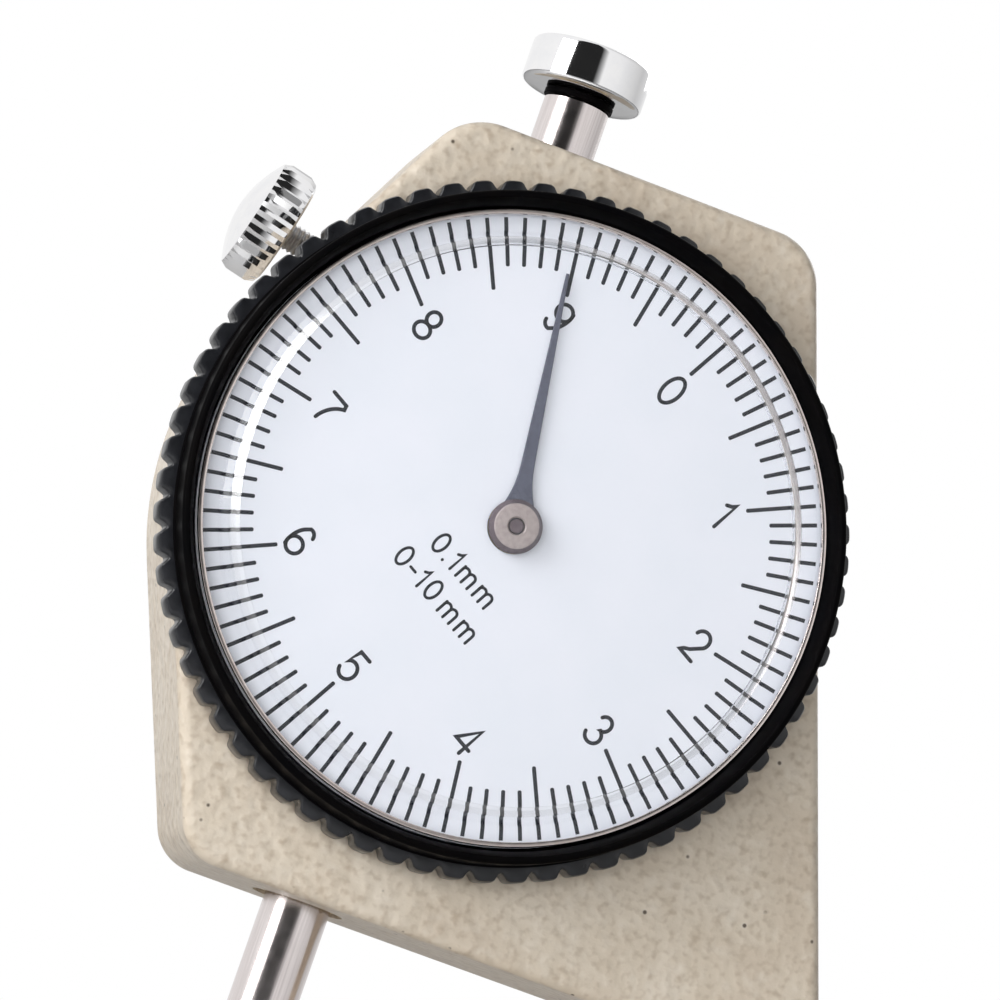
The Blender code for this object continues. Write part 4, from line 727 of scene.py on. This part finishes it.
def casting_cuts():
    """Shapes cut from the casting, each with its place."""
    lock = lock_place()
    rim = POCKET_RIM - SEAT_GAP
    seat = box_outline(COVER_LOW, COVER_HIGH, SEAT_GAP, POCKET_ROUND + POCKET_RIM)
    pocket = box_outline(COVER_LOW, COVER_HIGH, -rim, POCKET_ROUND)
    depth = COVER_HIGH.y - COVER_LOW.y + SEAT_GAP
    cuts = [
        (prism_shape(pocket, -CASE_BACK - OVERRUN, CASE_BACK - FRONT_WALL), (0, 0, 0), TO_FRONT),
        (prism_shape(seat, -CASE_BACK - OVERRUN, depth - CASE_BACK), (0, 0, 0), TO_FRONT),
        (rod_shape(BUSH_RADIUS + FIT_GAP, BUSH_LOW.z - OVERRUN, TOP_BUSH_HIGH.z + OVERRUN),
         (0, 0, 0), UP),
        (rod_shape(ANVIL_BORE, ANVIL_LOW.z - SEAT_GAP, CASE_LOW.z + JAW_HEIGHT + OVERRUN),
         (0, 0, 0), UP),
        (rod_shape(SET_SCREW_HIGH.x + SEAT_GAP / 3, 0, CASE_BACK + OVERRUN),
         (0, 0, (SET_SCREW_LOW.z + SET_SCREW_HIGH.z) / 2), TO_FRONT),
        (rod_shape(ARBOR_BUSH_RADIUS + SEAT_GAP, CASE_BACK - FRONT_WALL - OVERRUN,
                   CASE_BACK + OVERRUN), DIAL_CENTRE, TO_FRONT),
        (rod_shape(LOCK_BORE, ROD_RADIUS + OVERRUN, lock["reach"]), lock["centre"], lock["turn"]),
        (tube_shape(BOSS_OUTER - WIRE_DEPTH, BOSS_OUTER + OVERRUN, WIRE_FRONT - WIRE_GROOVE,
                    WIRE_FRONT + WIRE_GROOVE), DIAL_CENTRE, TO_FRONT)]
    for name in ("guide_pillar_1", "guide_pillar_2", "bridge_pillar_1", "bridge_pillar_2",
                 "spring_post"):
        low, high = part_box(name)
        place_at = ((low.x + high.x) / 2, 0, (low.z + high.z) / 2)
        floor = CASE_BACK - FRONT_WALL
        cuts.append((rod_shape(STUD_BORE, floor - OVERRUN, floor + STUD_DEPTH, 24), place_at,
                     TO_FRONT))
    for number in range(1, 5):
        low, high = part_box(f"cover_screw_{number}")
        place_at = ((low.x + high.x) / 2, 0, (low.z + high.z) / 2)
        cuts.append((rod_shape(COVER_SCREW_BORE, -CASE_BACK - OVERRUN, SEAT_GAP - low.y, 24),
                     place_at, TO_FRONT))
    return cuts


def carve(item, joins, cuts):
    """Joins and cuts shapes for good, with nothing left over in the scene."""
    tools = []
    for operation, shapes in (("UNION", joins), ("DIFFERENCE", cuts)):
        for number, (shape, place_at, turn) in enumerate(shapes):
            tool = finish_mesh(f"{operation.lower()}_{number}", shape, (), place_at, turn)
            modifier = item.modifiers.new(tool.name, "BOOLEAN")
            modifier.operation = operation
            modifier.solver = "EXACT"
            modifier.object = tool
            tools.append(tool)
    bpy.context.view_layer.update()
    carved = bpy.data.meshes.new_from_object(
        item.evaluated_get(bpy.context.evaluated_depsgraph_get()))
    item.modifiers.clear()
    item.data = carved
    for tool in tools:
        bpy.data.objects.remove(tool, do_unlink=True)
    carved.shade_smooth()
    carved.set_sharp_from_angle(angle=SHARP_EDGE)
    item.modifiers.new("normals", "WEIGHTED_NORMAL").keep_sharp = True


def make_casting(finishes):
    casting = add_piece("frame_casting_fine", casting_shape(), (finishes["enamel"],), "frame",
                        "frame_casting", turn=TO_FRONT)
    boss = tube_shape(BOSS_INNER, BOSS_OUTER, CASE_BACK - FRONT_WALL / 2, BOSS_FRONT)
    carve(casting, [(boss, DIAL_CENTRE, TO_FRONT)], casting_cuts())


# Bezel

def tooth_radius(turn, height):
    """Radius of the toothed flange at one turn, between the named tooth points."""
    step = 2 * math.pi / TEETH
    phase = ((turn + math.pi / 2) / step + 0.5) % 1 - 0.5
    points = [*TOOTH_POINTS, (0.5, 0.0)]
    for (before, low), (after, high) in zip(points, points[1:]):
        if before <= phase <= after:
            share = low + (high - low) * (phase - before) / (after - before)
            return BEZEL_RADIUS - TOOTH_DEPTH * (1 - share)
    return BEZEL_RADIUS - TOOTH_DEPTH


def inset_tooth(inset):
    return lambda turn, height: tooth_radius(turn, height) - inset


def make_bezel(finishes):
    gloss, satin = 0, 1
    edge = FLANGE_EDGE
    rings = [(BEZEL_BORE, BEZEL_BACK, satin), (inset_tooth(edge), BEZEL_BACK, satin),
             (inset_tooth(edge * 0.3), BEZEL_BACK + edge * 0.3, satin),
             (tooth_radius, BEZEL_BACK + edge, satin), (tooth_radius, FLANGE_FRONT - edge, satin),
             (inset_tooth(edge * 0.3), FLANGE_FRONT - edge * 0.3, satin),
             (inset_tooth(edge), FLANGE_FRONT, satin),
             (RIM_RADIUS + edge / 2, FLANGE_FRONT, gloss),
             (RIM_RADIUS, FLANGE_FRONT + edge / 2, gloss)]
    rings += plain(round_edge(RIM_RADIUS - RIM_EDGE, BEZEL_FRONT - RIM_EDGE, RIM_EDGE, 0, 90, 6),
                   gloss)
    lip = RIM_MOUTH + RIM_EDGE / 2
    rings += plain(round_edge(lip, BEZEL_FRONT - RIM_EDGE / 2, RIM_EDGE / 2, 90, 170), gloss)
    slope_back = CRYSTAL_BACK + CRYSTAL_RIM_THICKNESS
    groove = BEZEL_BORE + WIRE_SPACE
    rings += plain([(DIAL_SEAT, slope_back), (DIAL_SEAT, DIAL_SEAT_BACK),
                    (BEZEL_BORE, DIAL_SEAT_BACK), (BEZEL_BORE, WIRE_FRONT + WIRE_GROOVE),
                    (groove, WIRE_FRONT + WIRE_GROOVE), (groove, WIRE_FRONT - WIRE_GROOVE),
                    (BEZEL_BORE, WIRE_FRONT - WIRE_GROOVE)], gloss)
    add_piece("bezel_fine", ring_stack(rings, TEETH * len(TOOTH_POINTS)),
              (finishes["black_gloss"], finishes["bezel_satin"]), "dial", "bezel",
              DIAL_CENTRE, TO_FRONT)


def make_crystal(finishes):
    outer = CRYSTAL_RADIUS
    rim = outer - CRYSTAL_RIM
    wall = rim - CRYSTAL_WALL
    top = wall - CRYSTAL_BEVEL
    bevel = CRYSTAL_FRONT - CRYSTAL_BEVEL_DEPTH
    under = CRYSTAL_FRONT - CRYSTAL_THICKNESS
    step = CRYSTAL_BACK + CRYSTAL_RIM_THICKNESS
    edge = CRYSTAL_EDGE
    clear, side, slope = 0, 1, 2
    rings = plain([(CORE, under), (top, under), (rim - edge, CRYSTAL_BACK),
                   (outer - edge, CRYSTAL_BACK), (outer, CRYSTAL_BACK + edge), (outer, step - edge),
                   (outer - edge, step)], clear)
    rings += plain([(rim, step), (wall + edge, bevel - edge)], side)
    rings += plain([(wall, bevel), (top, CRYSTAL_FRONT)], slope)
    rings += plain([(top - edge, CRYSTAL_FRONT), (CORE, CRYSTAL_FRONT)], clear)
    add_piece("crystal_fine", ring_stack(rings, FINE, closed=False),
              (finishes["crystal"], finishes["crystal_wall"], finishes["crystal_bevel"]), "dial",
              "crystal", DIAL_CENTRE, TO_FRONT, sharp=math.radians(20))


def make_crystal_ring(finishes):
    outer = (RING_HIGH.x - RING_LOW.x) / 2
    inner = outer - RING_WIDTH
    low, high, edge = -RING_HIGH.y, -RING_LOW.y, RING_EDGE
    points = [(outer, low), *round_edge(outer - edge, high - edge, edge, 0, 90),
              *round_edge(inner + edge, high - edge, edge, 90, 180), (inner, low)]
    add_piece("crystal_ring_fine", ring_stack(plain(points), FINE), (finishes["ring_metal"],),
              "dial", "crystal_ring", DIAL_CENTRE, TO_FRONT)


# Dial and its print

def dial_turn(angle=0.0):
    """Turn of something printed on the dial, clockwise from the dial's own top."""
    return TO_FRONT @ Matrix.Rotation(-DIAL_TURN - angle, 3, "Z")


def make_dial_face(finishes):
    outer = (DIAL_HIGH.x - DIAL_LOW.x) / 2
    add_piece("dial_plate", tube_shape(DIAL_HOLE, outer, -DIAL_HIGH.y, DIAL_FRONT),
              (finishes["dial_white"],), "dial", "dial_face", DIAL_CENTRE,
              dial_turn())


def add_bar(shape, inner, outer, turn):
    half = MARK_WIDTH / 2
    rim = half / 2
    corners = [(-half, inner + rim), (-half + rim, inner), (half - rim, inner), (half, inner + rim),
               (half, outer), (-half, outer)]
    spin = Matrix.Rotation(-turn, 3, "Z")
    add_tile(shape, [(spin @ Vector((x, y, 0))).to_2d() for x, y in corners])


def make_marks(finishes):
    shape = bmesh.new()
    for mark in range(MARKS):
        inner = SHORT_MARK_INNER if mark % LONG_MARK_EVERY else LONG_MARK_INNER
        add_bar(shape, inner, MARK_OUTER, 2 * math.pi * mark / MARKS)
    add_piece("dial_marks", shape, (finishes["ink"],), "dial", None, DIAL_CENTRE,
              dial_turn())


def glyphs():
    """Strokes of each character, in a box as high as 1, with the width that it takes up."""
    oval = arc((0.31, 0.5), (0.25, 0.445), 90, 450, 28)
    six = [arc((0.31, 0.30), (0.245, 0.245), 0, 360, 24),
           arc((0.42, 0.38), (0.355, 0.565), 205, 122, 12)
           + arc((0.345, 0.74), (0.19, 0.205), 105, 15, 8)]
    hook = arc((0.265, 0.48), (0.185, 0.175), 180, 0, 8)
    return {
        "0": (0.62, [oval]),
        "1": (0.45, [[(0.27, 0.055), (0.27, 0.94), (0.2, 0.82), (0.06, 0.73)]]),
        "2": (0.62, [arc((0.3, 0.69), (0.235, 0.255), 172, -30, 14)
                     + [(0.27, 0.26), (0.13, 0.15), (0.07, 0.055), (0.55, 0.055)]]),
        "3": (0.62, [arc((0.29, 0.725), (0.2, 0.22), 160, -80, 14)
                     + arc((0.29, 0.285), (0.24, 0.235), 80, -162, 16)]),
        "4": (0.62, [[(0.44, 0.055), (0.44, 0.94), (0.05, 0.3), (0.58, 0.3)]]),
        "5": (0.62, [[(0.52, 0.94), (0.17, 0.94), (0.1, 0.48)]
                     + arc((0.29, 0.335), (0.25, 0.28), 128, -158, 16)]),
        "6": (0.62, six),
        "7": (0.62, [[(0.05, 0.94), (0.56, 0.94)]
                     + arc((0.96, 0.06), (0.74, 0.86), 118, 178, 10)]),
        "8": (0.62, [arc((0.31, 0.72), (0.2, 0.22), 90, 450, 24),
                     arc((0.31, 0.275), (0.245, 0.225), 90, 450, 24)]),
        "9": (0.62, [[(0.62 - x, 1 - y) for x, y in stroke] for stroke in six]),
        ".": (0.26, [[(0.14, 0.055), (0.14, 0.075)]]),
        "-": (0.5, [[(0.1, 0.4), (0.4, 0.4)]]),
        " ": (0.14, []),
        "m": (0.98, [[(0.09, 0.055), (0.09, 0.64)], hook_stem(hook), hook_stem(hook, 0.37)]),
    }


def hook_stem(hook, shift=0.0):
    """Arch and right stem of a letter m."""
    return [(x + shift, y) for x, y in hook] + [(hook[-1][0] + shift, 0.055)]


def add_stroke(shape, points, width):
    """Flat ribbon with round ends that stands on the dial."""
    half = width / 2
    middle = [Vector(point) for point in points]
    sides = []
    for index, point in enumerate(middle):
        before = (point - middle[index - 1]).normalized() if index else None
        after = (middle[index + 1] - point).normalized() if index + 1 < len(middle) else None
        ways = [way for way in (before, after) if way]
        tangent = sum(ways, Vector((0, 0))).normalized()
        reach = half / max(0.5, tangent.dot(ways[0]))
        sides.append(Vector((-tangent.y, tangent.x)) * reach)
    left = [point + side for point, side in zip(middle, sides)]
    right = [point - side for point, side in zip(middle, sides)]
    for index in range(len(middle) - 1):
        add_tile(shape, [left[index], right[index], right[index + 1], left[index + 1]])
    for end in (middle[0], middle[-1]):
        add_tile(shape, [end + Vector(polar(half, 2 * math.pi * step / 12)) for step in range(12)])


def add_tile(shape, corners):
    """Thin closed tile on the dial."""
    rows = [[shape.verts.new((x, y, height)) for x, y in corners]
            for height in (DIAL_FRONT - MARK_HEIGHT, DIAL_FRONT + MARK_HEIGHT)]
    shape.faces.new(reversed(rows[0]))
    shape.faces.new(rows[1])
    for step in range(len(corners)):
        ahead = (step + 1) % len(corners)
        shape.faces.new((rows[0][step], rows[0][ahead], rows[1][ahead], rows[1][step]))


def make_words(name, words, height, stroke, x, y, finishes):
    table = glyphs()
    widths = [table[letter][0] for letter in words]
    start = -(sum(widths) + LETTER_SPACE * (len(words) - 1)) / 2
    shape = bmesh.new()
    for letter, width in zip(words, widths):
        for points in table[letter][1]:
            placed = [(x + (start + px) * height, y + (py - 0.5) * height) for px, py in points]
            add_stroke(shape, placed, stroke)
        start += width + LETTER_SPACE
    add_piece(name, shape, (finishes["ink"],), "dial", None, DIAL_CENTRE,
              dial_turn())


def make_print(finishes):
    for number in range(NUMERALS):
        turn = 2 * math.pi * number / NUMERALS
        make_words(f"dial_numeral_{number}", str(number), NUMERAL_HEIGHT, NUMERAL_STROKE,
                   NUMERAL_SIDE_RADIUS * math.sin(turn), NUMERAL_TOP_RADIUS * math.cos(turn),
                   finishes)
    for name, words, drop in (("dial_unit_text", "0.1mm", UNIT_TEXT_DROP),
                              ("dial_range_text", "0-10 mm", RANGE_TEXT_DROP)):
        make_words(name, words, UNIT_TEXT_HEIGHT, UNIT_TEXT_STROKE, UNIT_TEXT_SHIFT, -drop,
                   finishes)


# Pointer

def needle_half_width(share):
    """Half the needle's width at a share of its length: a slim wedge with a flared root."""
    wedge = POINTER_WAIST + (POINTER_TIP - POINTER_WAIST) * share
    flare = max(0, 1 - share / POINTER_FLARE_SHARE)
    return (wedge + (POINTER_ROOT - POINTER_WAIST) * flare ** 2) / 2


def make_needle(finishes):
    start = math.asin(POINTER_ROOT / 2 / POINTER_EYE)
    root_height = math.sqrt(POINTER_EYE ** 2 - (POINTER_ROOT / 2) ** 2)
    steps = 24
    right = []
    for step in range(steps + 1):
        share = step / steps
        right.append((needle_half_width(share),
                      root_height + (POINTER_LENGTH - root_height) * share))
    eye = []
    sweep = 2 * math.pi - 2 * start
    for step in range(1, ROUND):
        eye.append(polar(POINTER_EYE, math.pi / 2 + start + sweep * step / ROUND))
    outline = eye + right + [(-x, y) for x, y in reversed(right)]
    low, high = -NEEDLE_HIGH.y, -NEEDLE_LOW.y
    shape = prism_shape(outline, low, high)
    rims = [edge for edge in shape.edges
            if all(abs(point.co.z - high) < POINTER_EDGE / 9 for point in edge.verts)]
    bmesh.ops.bevel(shape, geom=rims, offset=POINTER_EDGE, segments=1, affect="EDGES")
    turn = TO_FRONT @ Matrix.Rotation(-POINTER_ANGLE, 3, "Z")
    add_piece("pointer_needle_fine", shape, (finishes["pointer_grey"],), "pointer",
              "pointer_needle", DIAL_CENTRE, turn, sharp=math.radians(25))


def make_hub(finishes):
    # The side faces take the darker copy of the hub's metal, which is painted shade
    face, side = 0, 1
    low, high = -HUB_HIGH.y, -HUB_LOW.y
    base = (HUB_HIGH.x - HUB_LOW.x) / 2
    top = base * HUB_TOP_SHARE
    edge = HUB_EDGE
    shoulder = low + (high - low) * 0.4
    rings = plain([(HUB_BORE, low), (base - edge, low), (base, low + edge), (base, shoulder - edge),
                   (base - edge, shoulder)], side)
    rings += plain(round_edge(top - edge, high - edge, edge, 10, 90), face)
    rings += plain([(HUB_BORE + edge, high), (HUB_BORE, high - edge)], face)
    add_piece("pointer_hub_fine", ring_stack(rings, ROUND),
              (finishes["hub_metal"], finishes["hub_painted_shade"]), "pointer", "pointer_hub",
              DIAL_CENTRE, TO_FRONT)


# Spindle, contact, anvil and knob

def make_rod(finishes):
    """Ground rod with the flat that carries the rack and a bore for the contact's stud."""
    flat = RACK_LOW.x - SEAT_GAP / 3
    low, high = RACK_LOW.z - SEAT_GAP / 3, RACK_HIGH.z + SEAT_GAP / 3

    def radius(turn, height):
        if low < height < high and math.cos(turn) > 0:
            return min(ROD_RADIUS, flat / math.cos(turn))
        return ROD_RADIUS

    shoulder = KNOB_LOW.z - NECK_HEIGHT
    edge = TURNED_EDGE / 2
    bore, deep = CONTACT_STUD_BORE, ROD_LOW.z + CONTACT_STUD_DEPTH
    step = CORE
    rings = plain([(CORE, deep), (bore, deep), (bore, ROD_LOW.z), (ROD_RADIUS - edge, ROD_LOW.z),
                   (ROD_RADIUS, ROD_LOW.z + edge), (ROD_RADIUS, low - step)])
    rings += [(radius, low + step, 0), (radius, high - step, 0)]
    rings += plain([(ROD_RADIUS, high + step), (ROD_RADIUS, shoulder - edge),
                    (ROD_RADIUS - edge, shoulder), (KNOB_STUD_RADIUS, shoulder),
                    (KNOB_STUD_RADIUS, ROD_HIGH.z), (CORE, ROD_HIGH.z)])
    add_piece("spindle_rod_fine", ring_stack(rings, ROUND, closed=False),
              (finishes["ground_steel"],), "spindle", "spindle_rod")


def make_contact(finishes):
    radius = (CONTACT_HIGH.x - CONTACT_LOW.x) / 2
    disc = CONTACT_LOW.z + CONTACT_DISC
    neck = disc + CONTACT_NECK
    points = [(CORE, CONTACT_LOW.z), *turned_ends(radius, CONTACT_LOW.z, disc, TURNED_EDGE * 1.4),
              (ROD_RADIUS + TURNED_EDGE, disc), (ROD_RADIUS, disc + TURNED_EDGE),
              (ROD_RADIUS, neck), (CONTACT_STUD_BORE - SEAT_GAP / 3, neck),
              (CONTACT_STUD_BORE - SEAT_GAP / 3, CONTACT_HIGH.z), (CORE, CONTACT_HIGH.z)]
    add_piece("contact_point_fine", ring_stack(plain(points), ROUND, closed=False),
              (finishes["ground_steel"],), "spindle", "contact_point")


def make_anvil(finishes):
    radius = (ANVIL_HIGH.x - ANVIL_LOW.x) / 2
    stem = ANVIL_BORE - SEAT_GAP
    seat = CASE_LOW.z + JAW_HEIGHT + SEAT_GAP
    points = [(CORE, ANVIL_LOW.z), (stem, ANVIL_LOW.z), (stem, seat),
              *turned_ends(radius, seat, ANVIL_HIGH.z, TURNED_EDGE * 1.4), (CORE, ANVIL_HIGH.z)]
    add_piece("anvil_fine", ring_stack(plain(points), ROUND, closed=False),
              (finishes["ground_steel"],), "frame", "anvil")


def make_lift_knob(finishes):
    low, high = KNOB_LOW.z, KNOB_HIGH.z
    bore = KNOB_STUD_RADIUS + SEAT_GAP / 3
    deep = low + (high - low) * 0.5
    points = [(CORE, deep), (bore, deep), (bore, low), (KNOB_RADIUS * 0.7, low),
              *turned_ends(KNOB_RADIUS, low, high, KNOB_EDGE), (KNOB_RADIUS * 0.6, high),
              (CORE, high)]
    add_piece("lift_knob_fine", ring_stack(plain(points), ROUND, closed=False),
              (finishes["chrome"],), "spindle", "lift_knob")


# Spindle lock

def lock_place():
    """Centre and turn of the lock's axis, and how far the screw reaches along it."""
    centre = Vector((0, 0, DIAL_CENTRE.z + LOCK_RISE))
    turn = Matrix.Rotation(LOCK_SLOPE - math.radians(90), 3, "Y")
    out = turn @ Vector((0, 0, 1))
    along = [(point.co - centre).dot(out) for point in frame["nodes"]["lock_screw"].data.vertices]
    knurl = max(along) - LOCK_FACE_DROP - LOCK_KNURL_LENGTH
    return {"centre": centre, "turn": turn, "start": min(along), "knurl": knurl,
            "end": max(along), "reach": knurl}


def knurl_radius(inset):
    """Radius of the straight knurl: sharp ridges, cut down where the inset is deeper."""
    def radius(turn, height):
        valley = 1 - abs(math.sin(turn * LOCK_KNURLS / 2))
        return LOCK_RADIUS - max(inset, LOCK_KNURL_DEPTH * valley)
    return radius


def thread_radius(turn, height):
    wave = (height / LOCK_THREAD_PITCH - turn / (2 * math.pi)) % 1
    return LOCK_THREAD_RADIUS - LOCK_THREAD_DEPTH * abs(2 * wave - 1)


def make_lock_screw(finishes):
    bright, dark = 0, 1
    lock = lock_place()
    knurl, end = lock["knurl"], lock["end"]
    rim = end - LOCK_FACE_DROP
    seen = knurl - LOCK_THREAD_SEEN
    flat = LOCK_RADIUS - LOCK_KNURL_DEPTH - LOCK_EDGE
    rings = plain([(LOCK_THREAD_RADIUS, lock["start"]), (LOCK_THREAD_RADIUS, seen)], dark)
    steps = round(LOCK_THREAD_SEEN / LOCK_THREAD_PITCH) * LOCK_THREAD_STEPS
    for step in range(1, steps):
        rings.append((thread_radius, seen + LOCK_THREAD_SEEN * step / steps, dark))
    rings += plain([(LOCK_THREAD_RADIUS, knurl), (flat, knurl)], bright)
    shoulder = ((LOCK_KNURL_DEPTH, LOCK_EDGE * 0.5), (0.0, LOCK_EDGE * 2.4))
    rings += [(knurl_radius(inset), knurl + height, bright) for inset, height in shoulder]
    rings += [(knurl_radius(inset), rim - height, bright) for inset, height in reversed(shoulder)]
    for share in (1, 0.85, 0.7, 0.5, 0.3, 0.1):
        rings.append((flat * share, rim + LOCK_FACE_DROP * (1 - share * share), bright))
    rings.append((CORE, end, bright))
    add_piece("lock_screw_fine", ring_stack(rings, LOCK_KNURLS * 2, closed=False),
              (finishes["chrome"], finishes["screw_steel"]), "lock_knob", "lock_screw",
              lock["centre"], lock["turn"], sharp=math.radians(24))


# Studio

def add_light(name, size, power, place_at, aim, mirrored=True):
    """Area lamp. One that isn't mirrored shows in no reflection and through no crystal."""
    data = bpy.data.lights.new(name, "AREA")
    data.shape = "RECTANGLE"
    data.size, data.size_y = size
    data.energy = power
    item = bpy.data.objects.new(name, data)
    bpy.context.scene.collection.objects.link(item)
    item.visible_glossy = mirrored
    item.visible_transmission = mirrored
    item.location = place_at
    item.rotation_mode = "QUATERNION"
    item.rotation_quaternion = (Vector(aim) - Vector(place_at)).to_track_quat("-Z", "Y")
    return item


def make_lights():
    add_light("key_left", (0.3, 0.6), 2.9, (-0.5, -0.26, 0.12), LIGHT_AIM)
    add_light("front_low", (0.3, 0.16), 0.42, (-0.08, -0.27, 0.05), LOW_LIGHT_AIM, mirrored=False)
    add_light("back_right", (0.4, 0.4), 0.8, (0.35, 0.5, 0.45), LIGHT_AIM)


def make_world():
    """Pale to the eye. Metal sees one dark band and a grey right side, and plain light is
    weaker from the right."""
    world = bpy.data.worlds.new("studio")
    bpy.context.scene.world = world
    world.use_nodes = True
    tree = world.node_tree
    tree.nodes.clear()

    way = tree.nodes.new("ShaderNodeSeparateXYZ")
    tree.links.new(tree.nodes.new("ShaderNodeTexCoord").outputs["Generated"], way.inputs[0])
    front = add_math(tree, "MULTIPLY", way.outputs["Y"], -1.0)
    azimuth = add_math(tree, "ARCTAN2", way.outputs["X"], front)
    share = add_math(tree, "ADD", add_math(tree, "MULTIPLY", azimuth, 0.5 / math.pi), 0.5)

    def band(stops):
        """Strength by azimuth. Stops are (degrees from straight ahead of the dial, grey)."""
        node = tree.nodes.new("ShaderNodeValToRGB")
        tree.links.new(share, node.inputs["Fac"])
        return fill_ramp(node, [((degrees + 180) / 360, grey) for degrees, grey in stops])

    path = tree.nodes.new("ShaderNodeLightPath")
    seen = add_math(tree, "MAXIMUM", path.outputs["Is Camera Ray"],
                    path.outputs["Is Transmission Ray"])
    glossy = add_math(tree, "MULTIPLY", path.outputs["Is Glossy Ray"], band(GLOSS_BAND))
    not_glossy = add_math(tree, "SUBTRACT", 1.0, path.outputs["Is Glossy Ray"])
    plain_light = add_math(tree, "MULTIPLY", not_glossy, band(SIDE_LIGHT))
    strength = add_math(tree, "MAXIMUM", seen, add_math(tree, "ADD", glossy, plain_light))
    background = tree.nodes.new("ShaderNodeBackground")
    background.inputs["Color"].default_value = (1, 1, 1, 1)
    tree.links.new(strength, background.inputs["Strength"])
    output = tree.nodes.new("ShaderNodeOutputWorld")
    tree.links.new(background.outputs[0], output.inputs["Surface"])


def make_floor():
    shape = bmesh.new()
    bmesh.ops.create_grid(shape, x_segments=1, y_segments=1, size=FLOOR_REACH)
    material = bpy.data.materials.new("pale_floor")
    material.use_nodes = True
    tree = material.node_tree
    shader = tree.nodes["Principled BSDF"]
    shader.inputs["Base Color"].default_value = FLOOR_COLOUR
    shader.inputs["Roughness"].default_value = FLOOR_ROUGHNESS
    glow = tree.nodes.new("ShaderNodeEmission")
    path = tree.nodes.new("ShaderNodeLightPath")
    share = add_math(tree, "MULTIPLY", path.outputs["Is Camera Ray"], FLOOR_GLOW)
    mixed = tree.nodes.new("ShaderNodeMixShader")
    for socket, value in zip(mixed.inputs, (share, shader.outputs[0], glow.outputs[0])):
        feed(tree, socket, value)
    tree.links.new(mixed.outputs[0], tree.nodes["Material Output"].inputs["Surface"])
    finish_mesh("floor", shape, (material,), (0, 0, -FLOOR_DROP))


def camera_back():
    azimuth, elevation = CAMERA_AZIMUTH, CAMERA_ELEVATION
    return Vector((math.sin(azimuth) * math.cos(elevation),
                   -math.cos(azimuth) * math.cos(elevation), math.sin(elevation)))


def make_camera():
    data = bpy.data.cameras.new("camera")
    data.lens = CAMERA_LENS
    data.sensor_width = CAMERA_SENSOR
    data.clip_start = 0.01
    item = bpy.data.objects.new("camera", data)
    bpy.context.scene.collection.objects.link(item)
    back = camera_back()
    turn = (-back).to_track_quat("-Z", "Y").to_matrix() @ Matrix.Rotation(CAMERA_ROLL, 3, "Z")
    place_at = CAMERA_AIM + back * CAMERA_DISTANCE
    item.matrix_world = Matrix.Translation(place_at) @ turn.to_4x4()
    bpy.context.scene.camera = item


def build():
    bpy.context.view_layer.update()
    finishes = make_finishes()
    dress_frame_nodes(finishes)
    make_casting(finishes)
    make_bezel(finishes)
    make_crystal(finishes)
    make_crystal_ring(finishes)
    make_dial_face(finishes)
    make_marks(finishes)
    make_print(finishes)
    make_needle(finishes)
    make_hub(finishes)
    make_rod(finishes)
    make_contact(finishes)
    make_anvil(finishes)
    make_lift_knob(finishes)
    make_lock_screw(finishes)
    make_lights()
    make_world()
    make_floor()
    make_camera()
    bpy.context.scene.view_settings.view_transform = "Standard"
    bpy.context.view_layer.update()


build()
